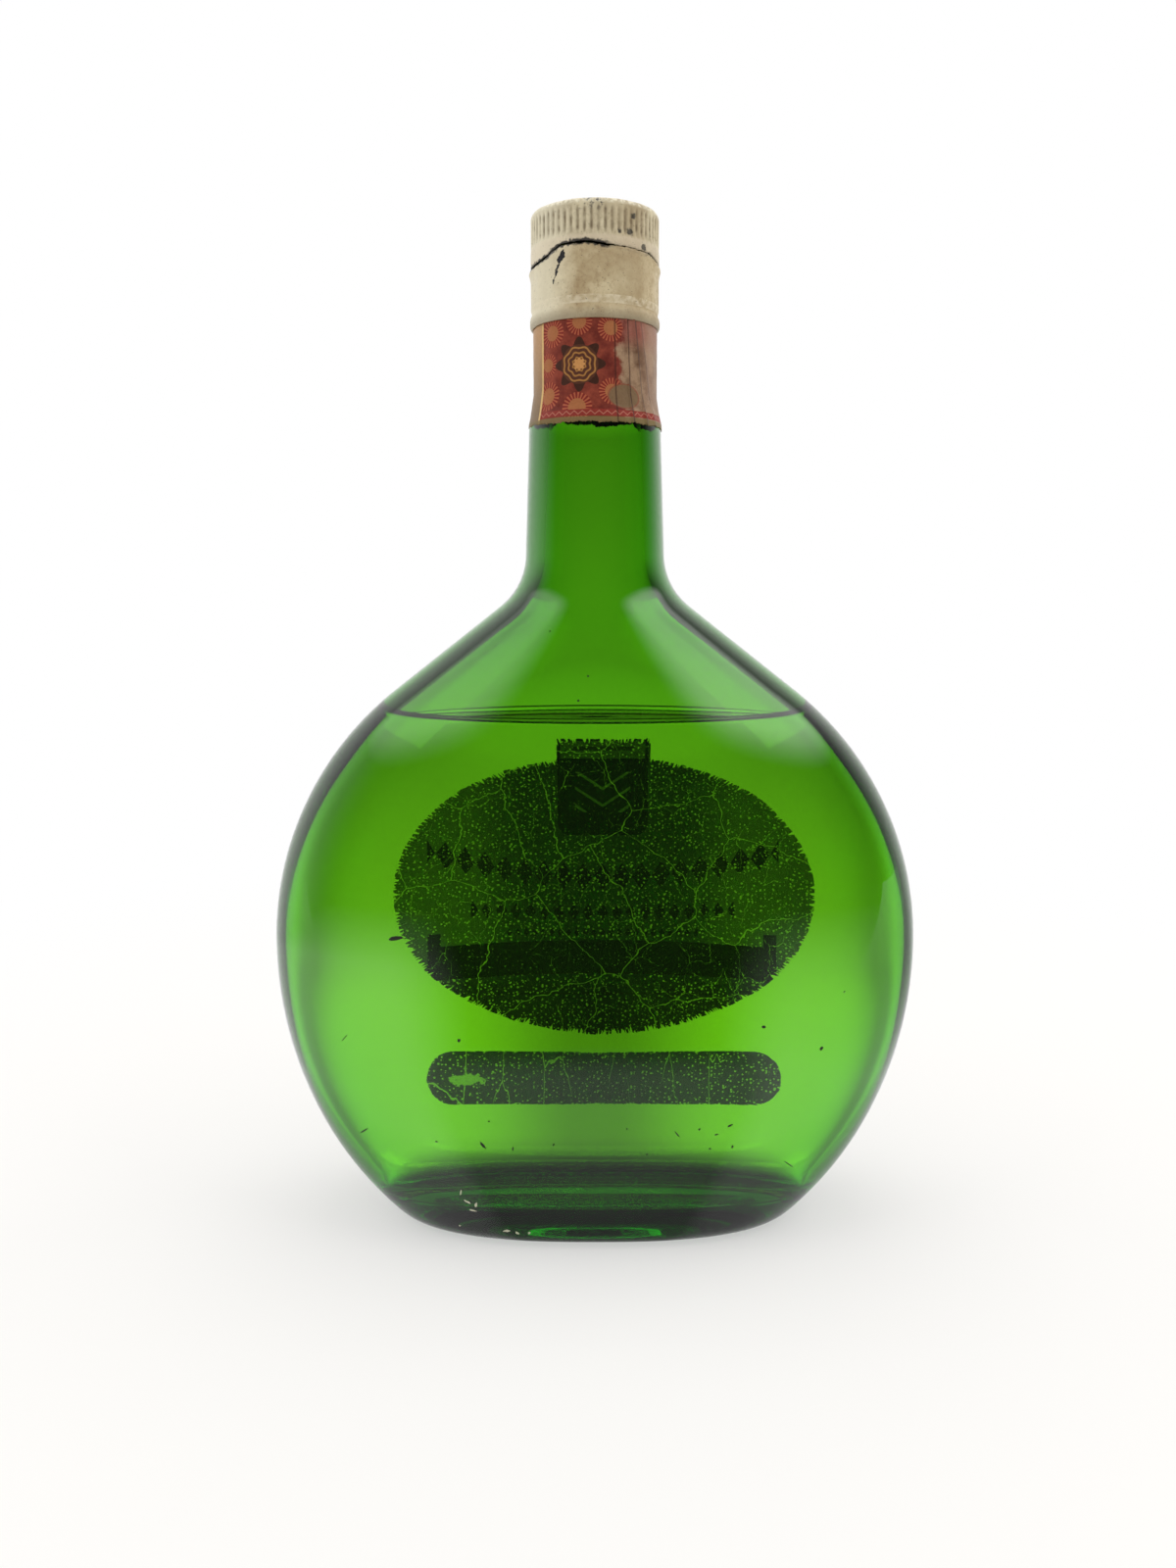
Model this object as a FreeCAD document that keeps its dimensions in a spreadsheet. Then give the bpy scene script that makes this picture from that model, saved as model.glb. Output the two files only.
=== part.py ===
"""Flat round brandy bottle: glass, brandy, torn screw cap, paper neck strip and two labels.

The bottle stands on its foot at z = 0 with the middle of the foot at the origin. It is widest
along X and flat along Y. The bare back faces -Y and the labelled front faces +Y. Millimetres.
"""
import FreeCAD, Part
import math
import os
import Sketcher
from FreeCAD import Placement, Rotation, Vector

SIZES = [
    ("body_width", 156.5, "glass body across X"),
    ("body_depth", 68.0, "glass body across Y"),
    ("widest_height", 67.0, "height of the widest section"),
    ("neck_base_height", 161.3, "height where the shoulder meets the neck"),
    ("neck_base_radius", 16.6, "neck where it meets the shoulder"),
    ("front_lower_radius", 86.0, "front outline, below the widest section"),
    ("front_upper_radius", 78.25, "front outline, above the widest section"),
    ("front_heel_radius", 10.5, "front outline, heel"),
    ("front_shoulder_radius", 16.0, "front outline, hollow curve into the neck"),
    ("side_lower_radius", 230.0, "side outline, below the widest section"),
    ("side_upper_radius", 155.0, "side outline, above the widest section"),
    ("side_heel_radius", 6.0, "side outline, heel"),
    ("side_shoulder_radius", 58.0, "side outline, hollow curve into the neck"),
    ("foot_squareness", 2.6, "exponent of the oval section at the foot, 2 is an ellipse"),
    ("wall", 4.0, "glass wall of the body"),
    ("neck_wall", 4.6, "glass wall where the neck begins"),
    ("base_thickness", 8.0, "glass under the brandy"),
    ("inner_heel_radius", 8.0, "inside, between floor and wall"),
    ("punt_margin", 5.0, "flat foot ring round the hollow underside"),
    ("punt_rise", 3.0, "depth of the hollow underside"),
    ("neck_length", 77.5, "from the neck's base up to the lip"),
    ("ledge_bottom_radius", 15.65, "neck, below the ledge under the strip"),
    ("ledge_height", 5.0, "height of the ledge's slope"),
    ("collar_radius", 14.5, "neck, under the strip and the skirt's bead"),
    ("collar_length", 16.9, "neck, from the ledge up to the skirt"),
    ("collar_lap", 4.6, "how far the collar reaches up inside the skirt"),
    ("finish_step", 0.9, "how much slimmer than the collar the neck is inside the cap"),
    ("mouth_radius", 9.3, "bore at the lip"),
    ("lip_round", 1.0, "rounding of the lip"),
    ("brandy_level", 122.5, "height of the brandy's surface"),
    ("cap_lift", 0.4, "gap between the lip and the cap's top"),
    ("cap_clearance", 0.9, "room for the thread between the neck and the cap"),
    ("cap_wall", 0.6, "sheet of the cap's top and side"),
    ("cap_height", 10.6, "the cap's torn-off top piece from edge to top"),
    ("cap_round", 1.2, "rounding of the cap's top edge"),
    ("ridge_margin", 1.6, "smooth edge above the ridges"),
    ("ridge_length", 6.6, "length of the ridges"),
    ("ridge_count", 60.0, "ridges round the cap"),
    ("ridge_depth", 0.35, "depth of the grooves between ridges"),
    ("ridge_gap", 0.7, "width of the grooves between ridges"),
    ("tear_gap", 0.7, "gap torn between the cap's top piece and its skirt"),
    ("skirt_length", 15.1, "skirt from the tear to its lower edge"),
    ("skirt_clearance", 0.05, "room between the collar and the skirt's sheet"),
    ("skirt_wall", 0.5, "sheet of the skirt"),
    ("skirt_flare", 0.45, "how far the skirt is bent out at the tear"),
    ("skirt_flare_height", 3.0, "length of the bent-out edge"),
    ("bead_height", 2.6, "rolled bead at the skirt's lower edge"),
    ("bead_thickness", 0.8, "rolled bead, out from the collar"),
    ("crease_height", 0.8, "crease above the bead"),
    ("crease_thickness", 0.35, "sheet at the crease, out from the collar"),
    ("strip_lap", 1.5, "how far the paper neck strip reaches below the ledge"),
    ("strip_thickness", 0.2, "paper of the neck strip"),
    ("label_thickness", 0.2, "paper of the labels"),
    ("label_shift", 2.0, "both labels sit this far to +X of the middle"),
    ("label_centre_height", 72.8, "middle of the oval front label"),
    ("label_width", 98.0, "oval front label across"),
    ("label_height", 68.0, "oval front label from top to bottom"),
    ("shield_width", 22.0, "shield that stands up from the front label"),
    ("shield_rise", 5.0, "shield above the top of the oval"),
    ("lower_label_width", 83.5, "long lower label across"),
    ("lower_label_height", 12.2, "long lower label from top to bottom"),
    ("lower_label_centre_height", 28.4, "middle of the long lower label"),
]

# Heights and radii of what fits together, as sums of the sizes above.
LIP = "neck_base_height + neck_length"
CAP_TOP = LIP + " + cap_lift + cap_wall"
CAP_EDGE = CAP_TOP + " - cap_height"
RIDGE_TOP = CAP_TOP + " - ridge_margin"
RIDGE_BOTTOM = RIDGE_TOP + " - ridge_length"
SKIRT_TOP = CAP_EDGE + " - tear_gap"
SKIRT_BOTTOM = SKIRT_TOP + " - skirt_length"
COLLAR_TOP = SKIRT_BOTTOM + " + collar_lap"
LEDGE_TOP = SKIRT_BOTTOM + " - collar_length"
LEDGE_BOTTOM = LEDGE_TOP + " - ledge_height"
STRIP_BOTTOM = LEDGE_BOTTOM + " - strip_lap"
FINISH_RADIUS = "collar_radius - finish_step"
CAP_INSIDE = FINISH_RADIUS + " + cap_clearance"
CAP_RADIUS = CAP_INSIDE + " + cap_wall"
SKIRT_INSIDE = "collar_radius + skirt_clearance"
SKIRT_RADIUS = SKIRT_INSIDE + " + skirt_wall"

# How finely the lofts are sectioned: points round a section, and millimetres between sections.
SECTION_POINTS = 32
SECTION_STEP = 5.0
HOLLOW_STEP = 2.2
HEEL_STEPS = 5
PUNT_STEPS = 3
PUNT_TOP = 0.5  # the hollow underside's flat top, as a share of its opening


def make_sheet(document):
    """Put the driving sizes into a spreadsheet, one row each with its name as alias."""
    sheet = document.addObject("Spreadsheet::Sheet", "Sizes")
    for row, (name, value, note) in enumerate(SIZES, start=1):
        sheet.set("A%d" % row, name)
        sheet.set("B%d" % row, str(value))
        sheet.set("C%d" % row, note)
        sheet.setAlias("B%d" % row, name)
    document.recompute()
    return sheet


doc = FreeCAD.newDocument("brandy_bottle")
sizes = make_sheet(doc)


def size(name):
    """A driving size, read from the sheet."""
    return float(sizes.get(name))


def number(formula):
    """Value of a sum of named sizes, such as "collar_radius - finish_step"."""
    total = 0.0
    sign = 1.0
    for word in formula.split():
        if word == "-":
            sign = -1.0
        elif word == "+":
            sign = 1.0
        else:
            total += sign * size(word)
    return total


def bound(formula):
    """The same sum as an expression on the sheet's cells."""
    return " ".join(word if word in "+-" else "Sizes." + word for word in formula.split())


# --- The body's outlines: heel arc, lower arc, upper arc, straight slope, hollow shoulder arc ---


class Outline:
    """Half the body's width over the height above its floor, as tangent arcs and one line."""

    def __init__(self, half, lower, upper, heel, shoulder, neck, widest, neck_base):
        self.lower, self.upper, self.heel, self.shoulder = lower, upper, heel, shoulder
        self.neck, self.widest, self.neck_base = neck, widest, neck_base
        self.lower_x = half - lower
        self.upper_x = half - upper
        self.foot = self.lower_x + math.sqrt((lower - heel) ** 2 - (widest - heel) ** 2)
        reach = math.hypot(self.foot - self.lower_x, widest - heel)
        self.heel_top = heel - heel * (widest - heel) / reach
        self.hollow_x = neck + shoulder
        run, rise = self.hollow_x - self.upper_x, neck_base - widest
        angle = math.atan2(rise, run) - math.acos((upper + shoulder) / math.hypot(run, rise))
        self.slope = math.tan(angle)
        self.slope_x = self.upper_x + upper * math.cos(angle)
        self.slope_bottom = widest + upper * math.sin(angle)
        self.slope_top = neck_base - shoulder * math.sin(angle)

    def half_at(self, height):
        """Half-width of the body at a height above its floor."""
        if height < self.heel_top:
            return self.foot + math.sqrt(self.heel ** 2 - (self.heel - height) ** 2)
        if height < self.widest:
            return self.lower_x + math.sqrt(self.lower ** 2 - (height - self.widest) ** 2)
        if height < self.slope_bottom:
            return self.upper_x + math.sqrt(self.upper ** 2 - (height - self.widest) ** 2)
        if height < self.slope_top:
            return self.slope_x - self.slope * (height - self.slope_bottom)
        if height < self.neck_base:
            return self.hollow_x - math.sqrt(self.shoulder ** 2 - (self.neck_base - height) ** 2)
        return self.neck


def outer_outlines():
    """Outside of the glass: the front outline (along X) and the side outline (along Y)."""
    shared = (size("neck_base_radius"), size("widest_height"), size("neck_base_height"))
    front = Outline(size("body_width") / 2, size("front_lower_radius"), size("front_upper_radius"),
                    size("front_heel_radius"), size("front_shoulder_radius"), *shared)
    side = Outline(size("body_depth") / 2, size("side_lower_radius"), size("side_upper_radius"),
                   size("side_heel_radius"), size("side_shoulder_radius"), *shared)
    return front, side


def inner_outlines():
    """Inside of the glass: the same curves one wall further in, on a floor above the base."""
    wall, base, heel = size("wall"), size("base_thickness"), size("inner_heel_radius")
    neck = size("neck_base_radius") - size("neck_wall")
    shared = (neck, size("widest_height") - base, size("neck_base_height") - base)
    front = Outline(size("body_width") / 2 - wall, size("front_lower_radius") - wall,
                    size("front_upper_radius") - wall, heel, size("front_shoulder_radius") + wall, *shared)
    side = Outline(size("body_depth") / 2 - wall, size("side_lower_radius") - wall,
                   size("side_upper_radius") - wall, heel, size("side_shoulder_radius") + wall, *shared)
    return front, side


def even_steps(low, high, step):
    """Evenly spaced heights above low, up to high, no more than a step apart."""
    count = math.ceil((high - low) / step)
    return [low + (high - low) * (k + 1) / count for k in range(count)]


def section_heights(front):
    """Heights above the floor at which sections are taken: closer where the outline bends."""
    quarter = math.pi / 2
    heel = [front.heel * (1 - math.cos(quarter * k / HEEL_STEPS)) for k in range(HEEL_STEPS)]
    body = even_steps(heel[-1], front.slope_top, SECTION_STEP)
    hollow = even_steps(front.slope_top, front.neck_base, HOLLOW_STEP)
    return heel + body + hollow


def squareness(height):
    """Exponent of the oval section at a height above the foot: squarer at the foot, then an ellipse."""
    part = min(height / size("widest_height"), 1.0)
    part = part * part * (3 - 2 * part)
    return size("foot_squareness") + (2.0 - size("foot_squareness")) * part


def oval(half_x, half_y, exponent):
    """Closed curve through points of the oval |x/a|^n + |y/b|^n = 1."""
    points = []
    for k in range(SECTION_POINTS):
        angle = 2 * math.pi * k / SECTION_POINTS
        c, s = math.cos(angle), math.sin(angle)
        x = half_x * math.copysign(abs(c) ** (2 / exponent), c)
        y = half_y * math.copysign(abs(s) ** (2 / exponent), s)
        points.append(Vector(x, y, 0))
    curve = Part.BSplineCurve()
    knots = [k / SECTION_POINTS for k in range(SECTION_POINTS + 1)]
    curve.interpolate(Points=points, PeriodicFlag=True, Parameters=knots)
    return curve


# --- Helpers for bodies, sketches and features ---


def new_body(name):
    """An empty body whose label names its file."""
    body = doc.addObject("PartDesign::Body", name)
    body.Label = name
    return body


def plane(body, role):
    """One of the body's own origin planes."""
    return next(item for item in body.Origin.OriginFeatures if item.Role == role)


def new_sketch(body, name, role="XY_Plane", height=None):
    """A sketch on an origin plane; height is a formula or a number, along the plane's normal."""
    sketch = body.newObject("Sketcher::SketchObject", name)
    sketch.AttachmentSupport = [(plane(body, role), "")]
    sketch.MapMode = "FlatFace"
    if isinstance(height, str):
        sketch.AttachmentOffset = Placement(Vector(0, 0, number(height)), Rotation())
        sketch.setExpression("AttachmentOffset.Base.z", bound(height))
    elif height is not None:
        sketch.AttachmentOffset = Placement(Vector(0, 0, height), Rotation())
    return sketch


def polygon(sketch, corners):
    """A closed outline whose corners are bound to sums of named sizes, "" for the axis."""
    places = [Vector(number(x) if x else 0.0, number(y) if y else 0.0, 0) for x, y in corners]
    first = sketch.GeometryCount
    count = len(corners)
    for k, start in enumerate(places):
        sketch.addGeometry(Part.LineSegment(start, places[(k + 1) % count]))
    for k in range(count):
        sketch.addConstraint(Sketcher.Constraint("Coincident", first + k, 2, first + (k + 1) % count, 1))
    for k, formulas in enumerate(corners):
        for kind, formula, value in zip(("DistanceX", "DistanceY"), formulas, places[k]):
            if formula:
                at = sketch.addConstraint(Sketcher.Constraint(kind, -1, 1, first + k, 1, value))
                sketch.setExpression("Constraints[%d]" % at, bound(formula))
            else:
                axis = -2 if kind == "DistanceX" else -1
                sketch.addConstraint(Sketcher.Constraint("PointOnObject", first + k, 1, axis))
    return sketch


def closed_lines(sketch, places):
    """A closed outline of straight lines through fixed places."""
    for k, place in enumerate(places):
        sketch.addGeometry(Part.LineSegment(place, places[(k + 1) % len(places)]))


def wide_frame():
    """A square that is wider than the whole bottle."""
    far = 3 * size("body_width")
    return [Vector(-far, -far, 0), Vector(far, -far, 0), Vector(far, far, 0), Vector(-far, far, 0)]


def cut_through(body, name, sketch, reverse=False, both_ways=False):
    """Cut a sketch through everything, one way or both."""
    cut = body.newObject("PartDesign::Pocket", name)
    cut.Profile = sketch
    cut.Type = "ThroughAll"
    cut.Reversed = reverse
    if both_ways:
        cut.SideType = "Symmetric"
    return cut


def revolve(body, kind, name, corners):
    """Turn an outline of (radius, height) corners about Z."""
    sketch = polygon(new_sketch(body, name + "_outline", "XZ_Plane"), corners)
    turned = body.newObject("PartDesign::" + kind, name)
    turned.Profile = sketch
    turned.ReferenceAxis = (sketch, ["V_Axis"])
    turned.Angle = 360
    return turned


def loft(body, kind, name, sections):
    """Smooth loft through (height, half_x, half_y, exponent) sections."""
    sketches = []
    for k, (height, half_x, half_y, exponent) in enumerate(sections):
        sketch = new_sketch(body, "%s_%02d" % (name, k), height=height)
        sketch.addGeometry(oval(half_x, half_y, exponent))
        sketches.append(sketch)
    lofted = body.newObject("PartDesign::" + kind, name)
    lofted.Profile = sketches[0]
    lofted.Sections = sketches[1:]
    lofted.Ruled = False
    return lofted


def body_sections(outlines, floor, grow=0.0):
    """Sections of the body on a floor height, grown outwards by a thickness."""
    front, side = outlines
    return [(floor + height, front.half_at(height) + grow, side.half_at(height) + grow,
             squareness(floor + height)) for height in section_heights(front)]


def round_edges(body, name, base, radius, heights):
    """Fillet the circular edges that lie at the given heights."""
    doc.recompute()
    wanted = [number(height) for height in heights]
    edges = []
    for index, edge in enumerate(base.Shape.Edges, start=1):
        box = edge.BoundBox
        flat = box.ZLength < 0.001
        if flat and any(abs(box.ZMin - height) < 0.001 for height in wanted):
            if isinstance(edge.Curve, Part.Circle):
                edges.append("Edge%d" % index)
    rounding = body.newObject("PartDesign::Fillet", name)
    rounding.Base = (base, edges)
    rounding.Radius = size(radius)
    rounding.setExpression("Radius", bound(radius))
    return rounding


# --- Glass and brandy ---


def build_glass():
    """The bottle: lofted body and turned neck, with the cavity, bore and hollow underside cut."""
    body = new_body("glass_bottle")
    loft(body, "AdditiveLoft", "glass_body", body_sections(outer_outlines(), 0.0))
    neck = revolve(body, "Revolution", "glass_neck", [
        ("", "neck_base_height"),
        ("neck_base_radius", "neck_base_height"),
        ("ledge_bottom_radius", LEDGE_BOTTOM),
        ("collar_radius", LEDGE_TOP),
        ("collar_radius", COLLAR_TOP),
        (FINISH_RADIUS, COLLAR_TOP),
        (FINISH_RADIUS, LIP),
        ("", LIP),
    ])
    round_edges(body, "lip_rounding", neck, "lip_round", [LIP])
    loft(body, "SubtractiveLoft", "cavity", body_sections(inner_outlines(), size("base_thickness")))
    revolve(body, "Groove", "bore", [
        ("", "neck_base_height"),
        ("neck_base_radius - neck_wall", "neck_base_height"),
        ("mouth_radius", LIP),
        ("", LIP),
    ])
    front, side = outer_outlines()
    foot_x = front.foot - size("punt_margin")
    foot_y = side.foot - size("punt_margin")
    punt = []
    for step in range(PUNT_STEPS + 1):
        part = step / PUNT_STEPS
        shrink = math.sqrt(1 - (1 - PUNT_TOP ** 2) * part)
        punt.append((size("punt_rise") * part, foot_x * shrink, foot_y * shrink, size("foot_squareness")))
    loft(body, "SubtractiveLoft", "punt", punt)
    return body


def build_brandy():
    """The brandy: the cavity's own shape up to the level."""
    body = new_body("brandy")
    loft(body, "AdditiveLoft", "brandy_fill", body_sections(inner_outlines(), size("base_thickness")))
    above = new_sketch(body, "above_level", height="brandy_level")
    closed_lines(above, wide_frame())
    cut_through(body, "level_cut", above, reverse=True)
    return body


# --- Cap, skirt and strip ---


def build_cap_top():
    """The cap's torn-off top: a cup with grooves between its ridges."""
    body = new_body("cap_top")
    shell = revolve(body, "Revolution", "cap_cup", [
        (CAP_INSIDE, CAP_EDGE),
        (CAP_RADIUS, CAP_EDGE),
        (CAP_RADIUS, CAP_TOP),
        ("", CAP_TOP),
        ("", CAP_TOP + " - cap_wall"),
        (CAP_INSIDE, CAP_TOP + " - cap_wall"),
    ])
    round_edges(body, "cap_edge", shell, "cap_round", [CAP_TOP])
    sketch = new_sketch(body, "ridge_gap_outline", height=RIDGE_BOTTOM)
    deep = number(CAP_RADIUS) - size("ridge_depth")
    out = number(CAP_RADIUS) + size("ridge_depth")
    half = size("ridge_gap") / 2
    closed_lines(sketch, [Vector(deep, 0, 0), Vector(out, -half, 0), Vector(out, half, 0)])
    gap = body.newObject("PartDesign::Pocket", "ridge_gap_cut")
    gap.Profile = sketch
    gap.Reversed = True
    gap.Length = size("ridge_length")
    gap.setExpression("Length", bound("ridge_length"))
    ridges = body.newObject("PartDesign::PolarPattern", "ridges")
    ridges.Originals = [gap]
    ridges.Axis = (sketch, ["N_Axis"])
    ridges.Angle = 360
    ridges.Occurrences = int(size("ridge_count"))
    body.Tip = ridges
    return body


def build_cap_skirt():
    """The skirt left on the neck: bent out at the tear, a crease, and a rolled bead below."""
    body = new_body("cap_skirt")
    revolve(body, "Revolution", "skirt_sheet", [
        ("collar_radius", SKIRT_BOTTOM),
        ("collar_radius + bead_thickness", SKIRT_BOTTOM),
        ("collar_radius + bead_thickness", SKIRT_BOTTOM + " + bead_height"),
        ("collar_radius + crease_thickness", SKIRT_BOTTOM + " + bead_height + crease_height"),
        (SKIRT_RADIUS, SKIRT_BOTTOM + " + bead_height + crease_height + crease_height"),
        (SKIRT_RADIUS, SKIRT_TOP + " - skirt_flare_height"),
        (SKIRT_RADIUS + " + skirt_flare", SKIRT_TOP),
        (SKIRT_INSIDE + " + skirt_flare", SKIRT_TOP),
        (SKIRT_INSIDE, SKIRT_TOP + " - skirt_flare_height"),
        (SKIRT_INSIDE, COLLAR_TOP),
        ("collar_radius", COLLAR_TOP),
    ])
    return body


def build_neck_strip():
    """The paper strip round the neck, from below the ledge up to the skirt."""
    body = new_body("neck_strip")
    taper = size("neck_base_radius") - size("ledge_bottom_radius")
    taper /= number(LEDGE_BOTTOM) - size("neck_base_height")
    bottom = size("ledge_bottom_radius") + size("strip_lap") * taper
    thick = size("strip_thickness")
    places = [
        Vector(bottom, number(STRIP_BOTTOM), 0),
        Vector(bottom + thick, number(STRIP_BOTTOM), 0),
        Vector(size("ledge_bottom_radius") + thick, number(LEDGE_BOTTOM), 0),
        Vector(size("collar_radius") + thick, number(LEDGE_TOP), 0),
        Vector(size("collar_radius") + thick, number(SKIRT_BOTTOM), 0),
        Vector(size("collar_radius"), number(SKIRT_BOTTOM), 0),
        Vector(size("collar_radius"), number(LEDGE_TOP), 0),
        Vector(size("ledge_bottom_radius"), number(LEDGE_BOTTOM), 0),
    ]
    sketch = new_sketch(body, "strip_outline", "XZ_Plane")
    closed_lines(sketch, places)
    turned = body.newObject("PartDesign::Revolution", "strip_band")
    turned.Profile = sketch
    turned.ReferenceAxis = (sketch, ["V_Axis"])
    turned.Angle = 360
    return body


# --- Labels ---


def paper_on_glass(name, outline):
    """A thin solid on the +Y face of the body, trimmed to an outline seen along Y."""
    body = new_body(name)
    outer = outer_outlines()
    loft(body, "AdditiveLoft", name + "_skin", body_sections(outer, 0.0, size("label_thickness")))
    loft(body, "SubtractiveLoft", name + "_glass", body_sections(outer, 0.0))
    round_it = new_sketch(body, name + "_outline", "XZ_Plane")
    closed_lines(round_it, wide_frame())
    for curve in outline:
        round_it.addGeometry(curve)
    cut_through(body, name + "_trim", round_it, both_ways=True)
    back = new_sketch(body, name + "_back", "XZ_Plane")
    closed_lines(back, wide_frame())
    cut_through(body, name + "_back_cut", back, reverse=True)
    return body


def build_front_label():
    """The front label: an oval with a flat-topped shield standing up in its middle."""
    across, tall = size("label_width") / 2, size("label_height") / 2
    centre = Vector(size("label_shift"), size("label_centre_height"), 0)
    shield = size("shield_width") / 2
    meet = math.acos(shield / across)
    foot = tall * math.sin(meet)
    top = tall + size("shield_rise")
    corners = [centre + Vector(shield, foot, 0), centre + Vector(shield, top, 0),
               centre + Vector(-shield, top, 0), centre + Vector(-shield, foot, 0)]
    oval_edge = Part.Ellipse(centre, across, tall)
    return paper_on_glass("front_label", [
        Part.ArcOfEllipse(oval_edge, math.pi - meet, 2 * math.pi + meet),
        Part.LineSegment(corners[0], corners[1]),
        Part.LineSegment(corners[1], corners[2]),
        Part.LineSegment(corners[2], corners[3]),
    ])


def build_lower_label():
    """The long lower label: a bar with half-round ends."""
    round_end = size("lower_label_height") / 2
    reach = Vector(size("lower_label_width") / 2 - round_end, 0, 0)
    rise = Vector(0, round_end, 0)
    centre = Vector(size("label_shift"), size("lower_label_centre_height"), 0)
    quarter = math.pi / 2
    right = Part.Circle(centre + reach, Vector(0, 0, 1), round_end)
    left = Part.Circle(centre - reach, Vector(0, 0, 1), round_end)
    return paper_on_glass("lower_label", [
        Part.ArcOfCircle(right, -quarter, quarter),
        Part.LineSegment(centre + reach + rise, centre - reach + rise),
        Part.ArcOfCircle(left, quarter, 3 * quarter),
        Part.LineSegment(centre - reach - rise, centre + reach - rise),
    ])


# --- Build, check and export ---


def check_and_export(pieces):
    """Refuse a failed feature or a faulty shape, then write one STEP file for each piece."""
    doc.recompute()
    for item in doc.Objects:
        if {"Invalid", "Error"} & set(item.State):
            raise RuntimeError("%s failed: %s" % (item.Name, item.State))
    for piece in pieces:
        shape = piece.Shape
        if shape.isNull() or not shape.isValid() or len(shape.Solids) != 1:
            raise RuntimeError("%s is not one valid solid" % piece.Label)
    os.makedirs("parts", exist_ok=True)
    for piece in pieces:
        piece.Shape.exportStep("parts/%s.step" % piece.Label)
        print("%-12s %9.1f mm3" % (piece.Label, piece.Shape.Volume))


check_and_export([
    build_glass(),
    build_brandy(),
    build_cap_top(),
    build_cap_skirt(),
    build_neck_strip(),
    build_front_label(),
    build_lower_label(),
])
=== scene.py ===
# %% [markdown]
# # A flat round brandy bottle
# A green glass bottle, flat from front to back, partly filled with brandy. Its screw cap has
# been torn open and put back, a paper strip goes round the neck, and two paper labels are
# glued on the far side, so their unprinted backs show through the glass and the brandy.
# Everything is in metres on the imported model's frame: Z is up, the bare back faces -Y and the
# labelled front faces +Y.

# %% Load the frame
import math

import bpy
import numpy as np
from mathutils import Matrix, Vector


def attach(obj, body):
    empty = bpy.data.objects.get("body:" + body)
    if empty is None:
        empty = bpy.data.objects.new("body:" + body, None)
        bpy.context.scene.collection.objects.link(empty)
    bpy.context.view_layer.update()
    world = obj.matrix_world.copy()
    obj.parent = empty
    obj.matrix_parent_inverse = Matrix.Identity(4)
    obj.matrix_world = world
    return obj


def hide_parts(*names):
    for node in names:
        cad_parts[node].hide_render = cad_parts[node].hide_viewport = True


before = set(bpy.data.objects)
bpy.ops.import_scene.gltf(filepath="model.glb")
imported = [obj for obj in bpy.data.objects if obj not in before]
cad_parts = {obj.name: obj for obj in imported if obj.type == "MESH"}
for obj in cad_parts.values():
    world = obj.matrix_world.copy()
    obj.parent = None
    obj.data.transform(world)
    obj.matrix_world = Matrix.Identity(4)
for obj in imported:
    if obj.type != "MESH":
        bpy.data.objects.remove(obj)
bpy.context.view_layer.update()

MM = 0.001
print("solids:", sorted(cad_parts))

# %% [markdown]
# ## Helpers
# Most pieces here are closed skins that run round the Z axis: a stack of rings from one pole
# to another. They could be turned with a Screw modifier, but the body isn't round and the
# torn edges aren't level, so the rings are worked out with numpy and joined by one function.

# %% A closed skin from rings
def skin(name, rings, start=None, end=None, loop=False):
    """Mesh object from rings of equal count. It is closed by the pole points start and end, or as a loop."""
    rings = np.asarray(rings, float)
    count, around = rings.shape[:2]
    points = [tuple(p) for p in rings.reshape(-1, 3)]
    faces = []
    for r in range(count if loop else count - 1):
        after = (r + 1) % count
        for c in range(around):
            d = (c + 1) % around
            faces.append((r * around + c, r * around + d, after * around + d, after * around + c))
    if start is not None:
        points.append(tuple(start))
        faces += [(len(points) - 1, (c + 1) % around, c) for c in range(around)]
    if end is not None:
        points.append(tuple(end))
        last = (count - 1) * around
        faces += [(len(points) - 1, last + c, last + (c + 1) % around) for c in range(around)]
    mesh = bpy.data.meshes.new(name)
    mesh.from_pydata(points, [], faces)
    mesh.polygons.foreach_set("use_smooth", [True] * len(faces))
    mesh.update()
    piece = bpy.data.objects.new(name, mesh)
    bpy.context.scene.collection.objects.link(piece)
    print("%-14s %6d faces" % (name, len(faces)))
    return piece


# %% [markdown]
# Colours are written as sRGB hex, as a paint chart gives them, and turned to linear by one
# function. Materials are node trees, which could be wired by hand in the Shader Editor. Here
# one function adds a node, sets it up and links it, and three small ones build on it: coats of
# colour laid one over another, as a painter would, and masks joined by "and" or by "or".

# %% Colours and nodes
def linear(code):
    """Linear RGBA of an sRGB hex colour."""
    parts = [int(code[i:i + 2], 16) / 255 for i in (1, 3, 5)]
    return [p / 12.92 if p <= 0.04045 else ((p + 0.055) / 1.055) ** 2.4 for p in parts] + [1.0]


def add(tree, kind, *given, stops=None, **settings):
    """One shader node, set up and linked.

    kind may carry the node's operation, as in "Math ADD". given are values, nodes or sockets for
    its inputs in order, and a dict among them names its inputs instead.
    """
    kind, _, operation = kind.partition(" ")
    node = tree.nodes.new("ShaderNode" + kind)
    if operation:
        settings["operation"] = operation
    for key, value in settings.items():
        setattr(node, key, value)
    if stops:
        ramp = node.color_ramp
        while len(ramp.elements) < len(stops):
            ramp.elements.new(0.5)
        for element, (place, grey) in zip(ramp.elements, stops):
            element.position = place
            element.color = [grey] * 3 + [1.0]
    inputs = {}
    for place, value in enumerate(given):
        inputs.update(value if isinstance(value, dict) else {place: value})
    for key, value in inputs.items():
        if isinstance(value, bpy.types.Node):
            value = next(s for s in value.outputs if s.enabled)
        if isinstance(value, bpy.types.NodeSocket):
            tree.links.new(value, node.inputs[key])
        else:
            node.inputs[key].default_value = linear(value) if isinstance(value, str) else value
    return node


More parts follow.
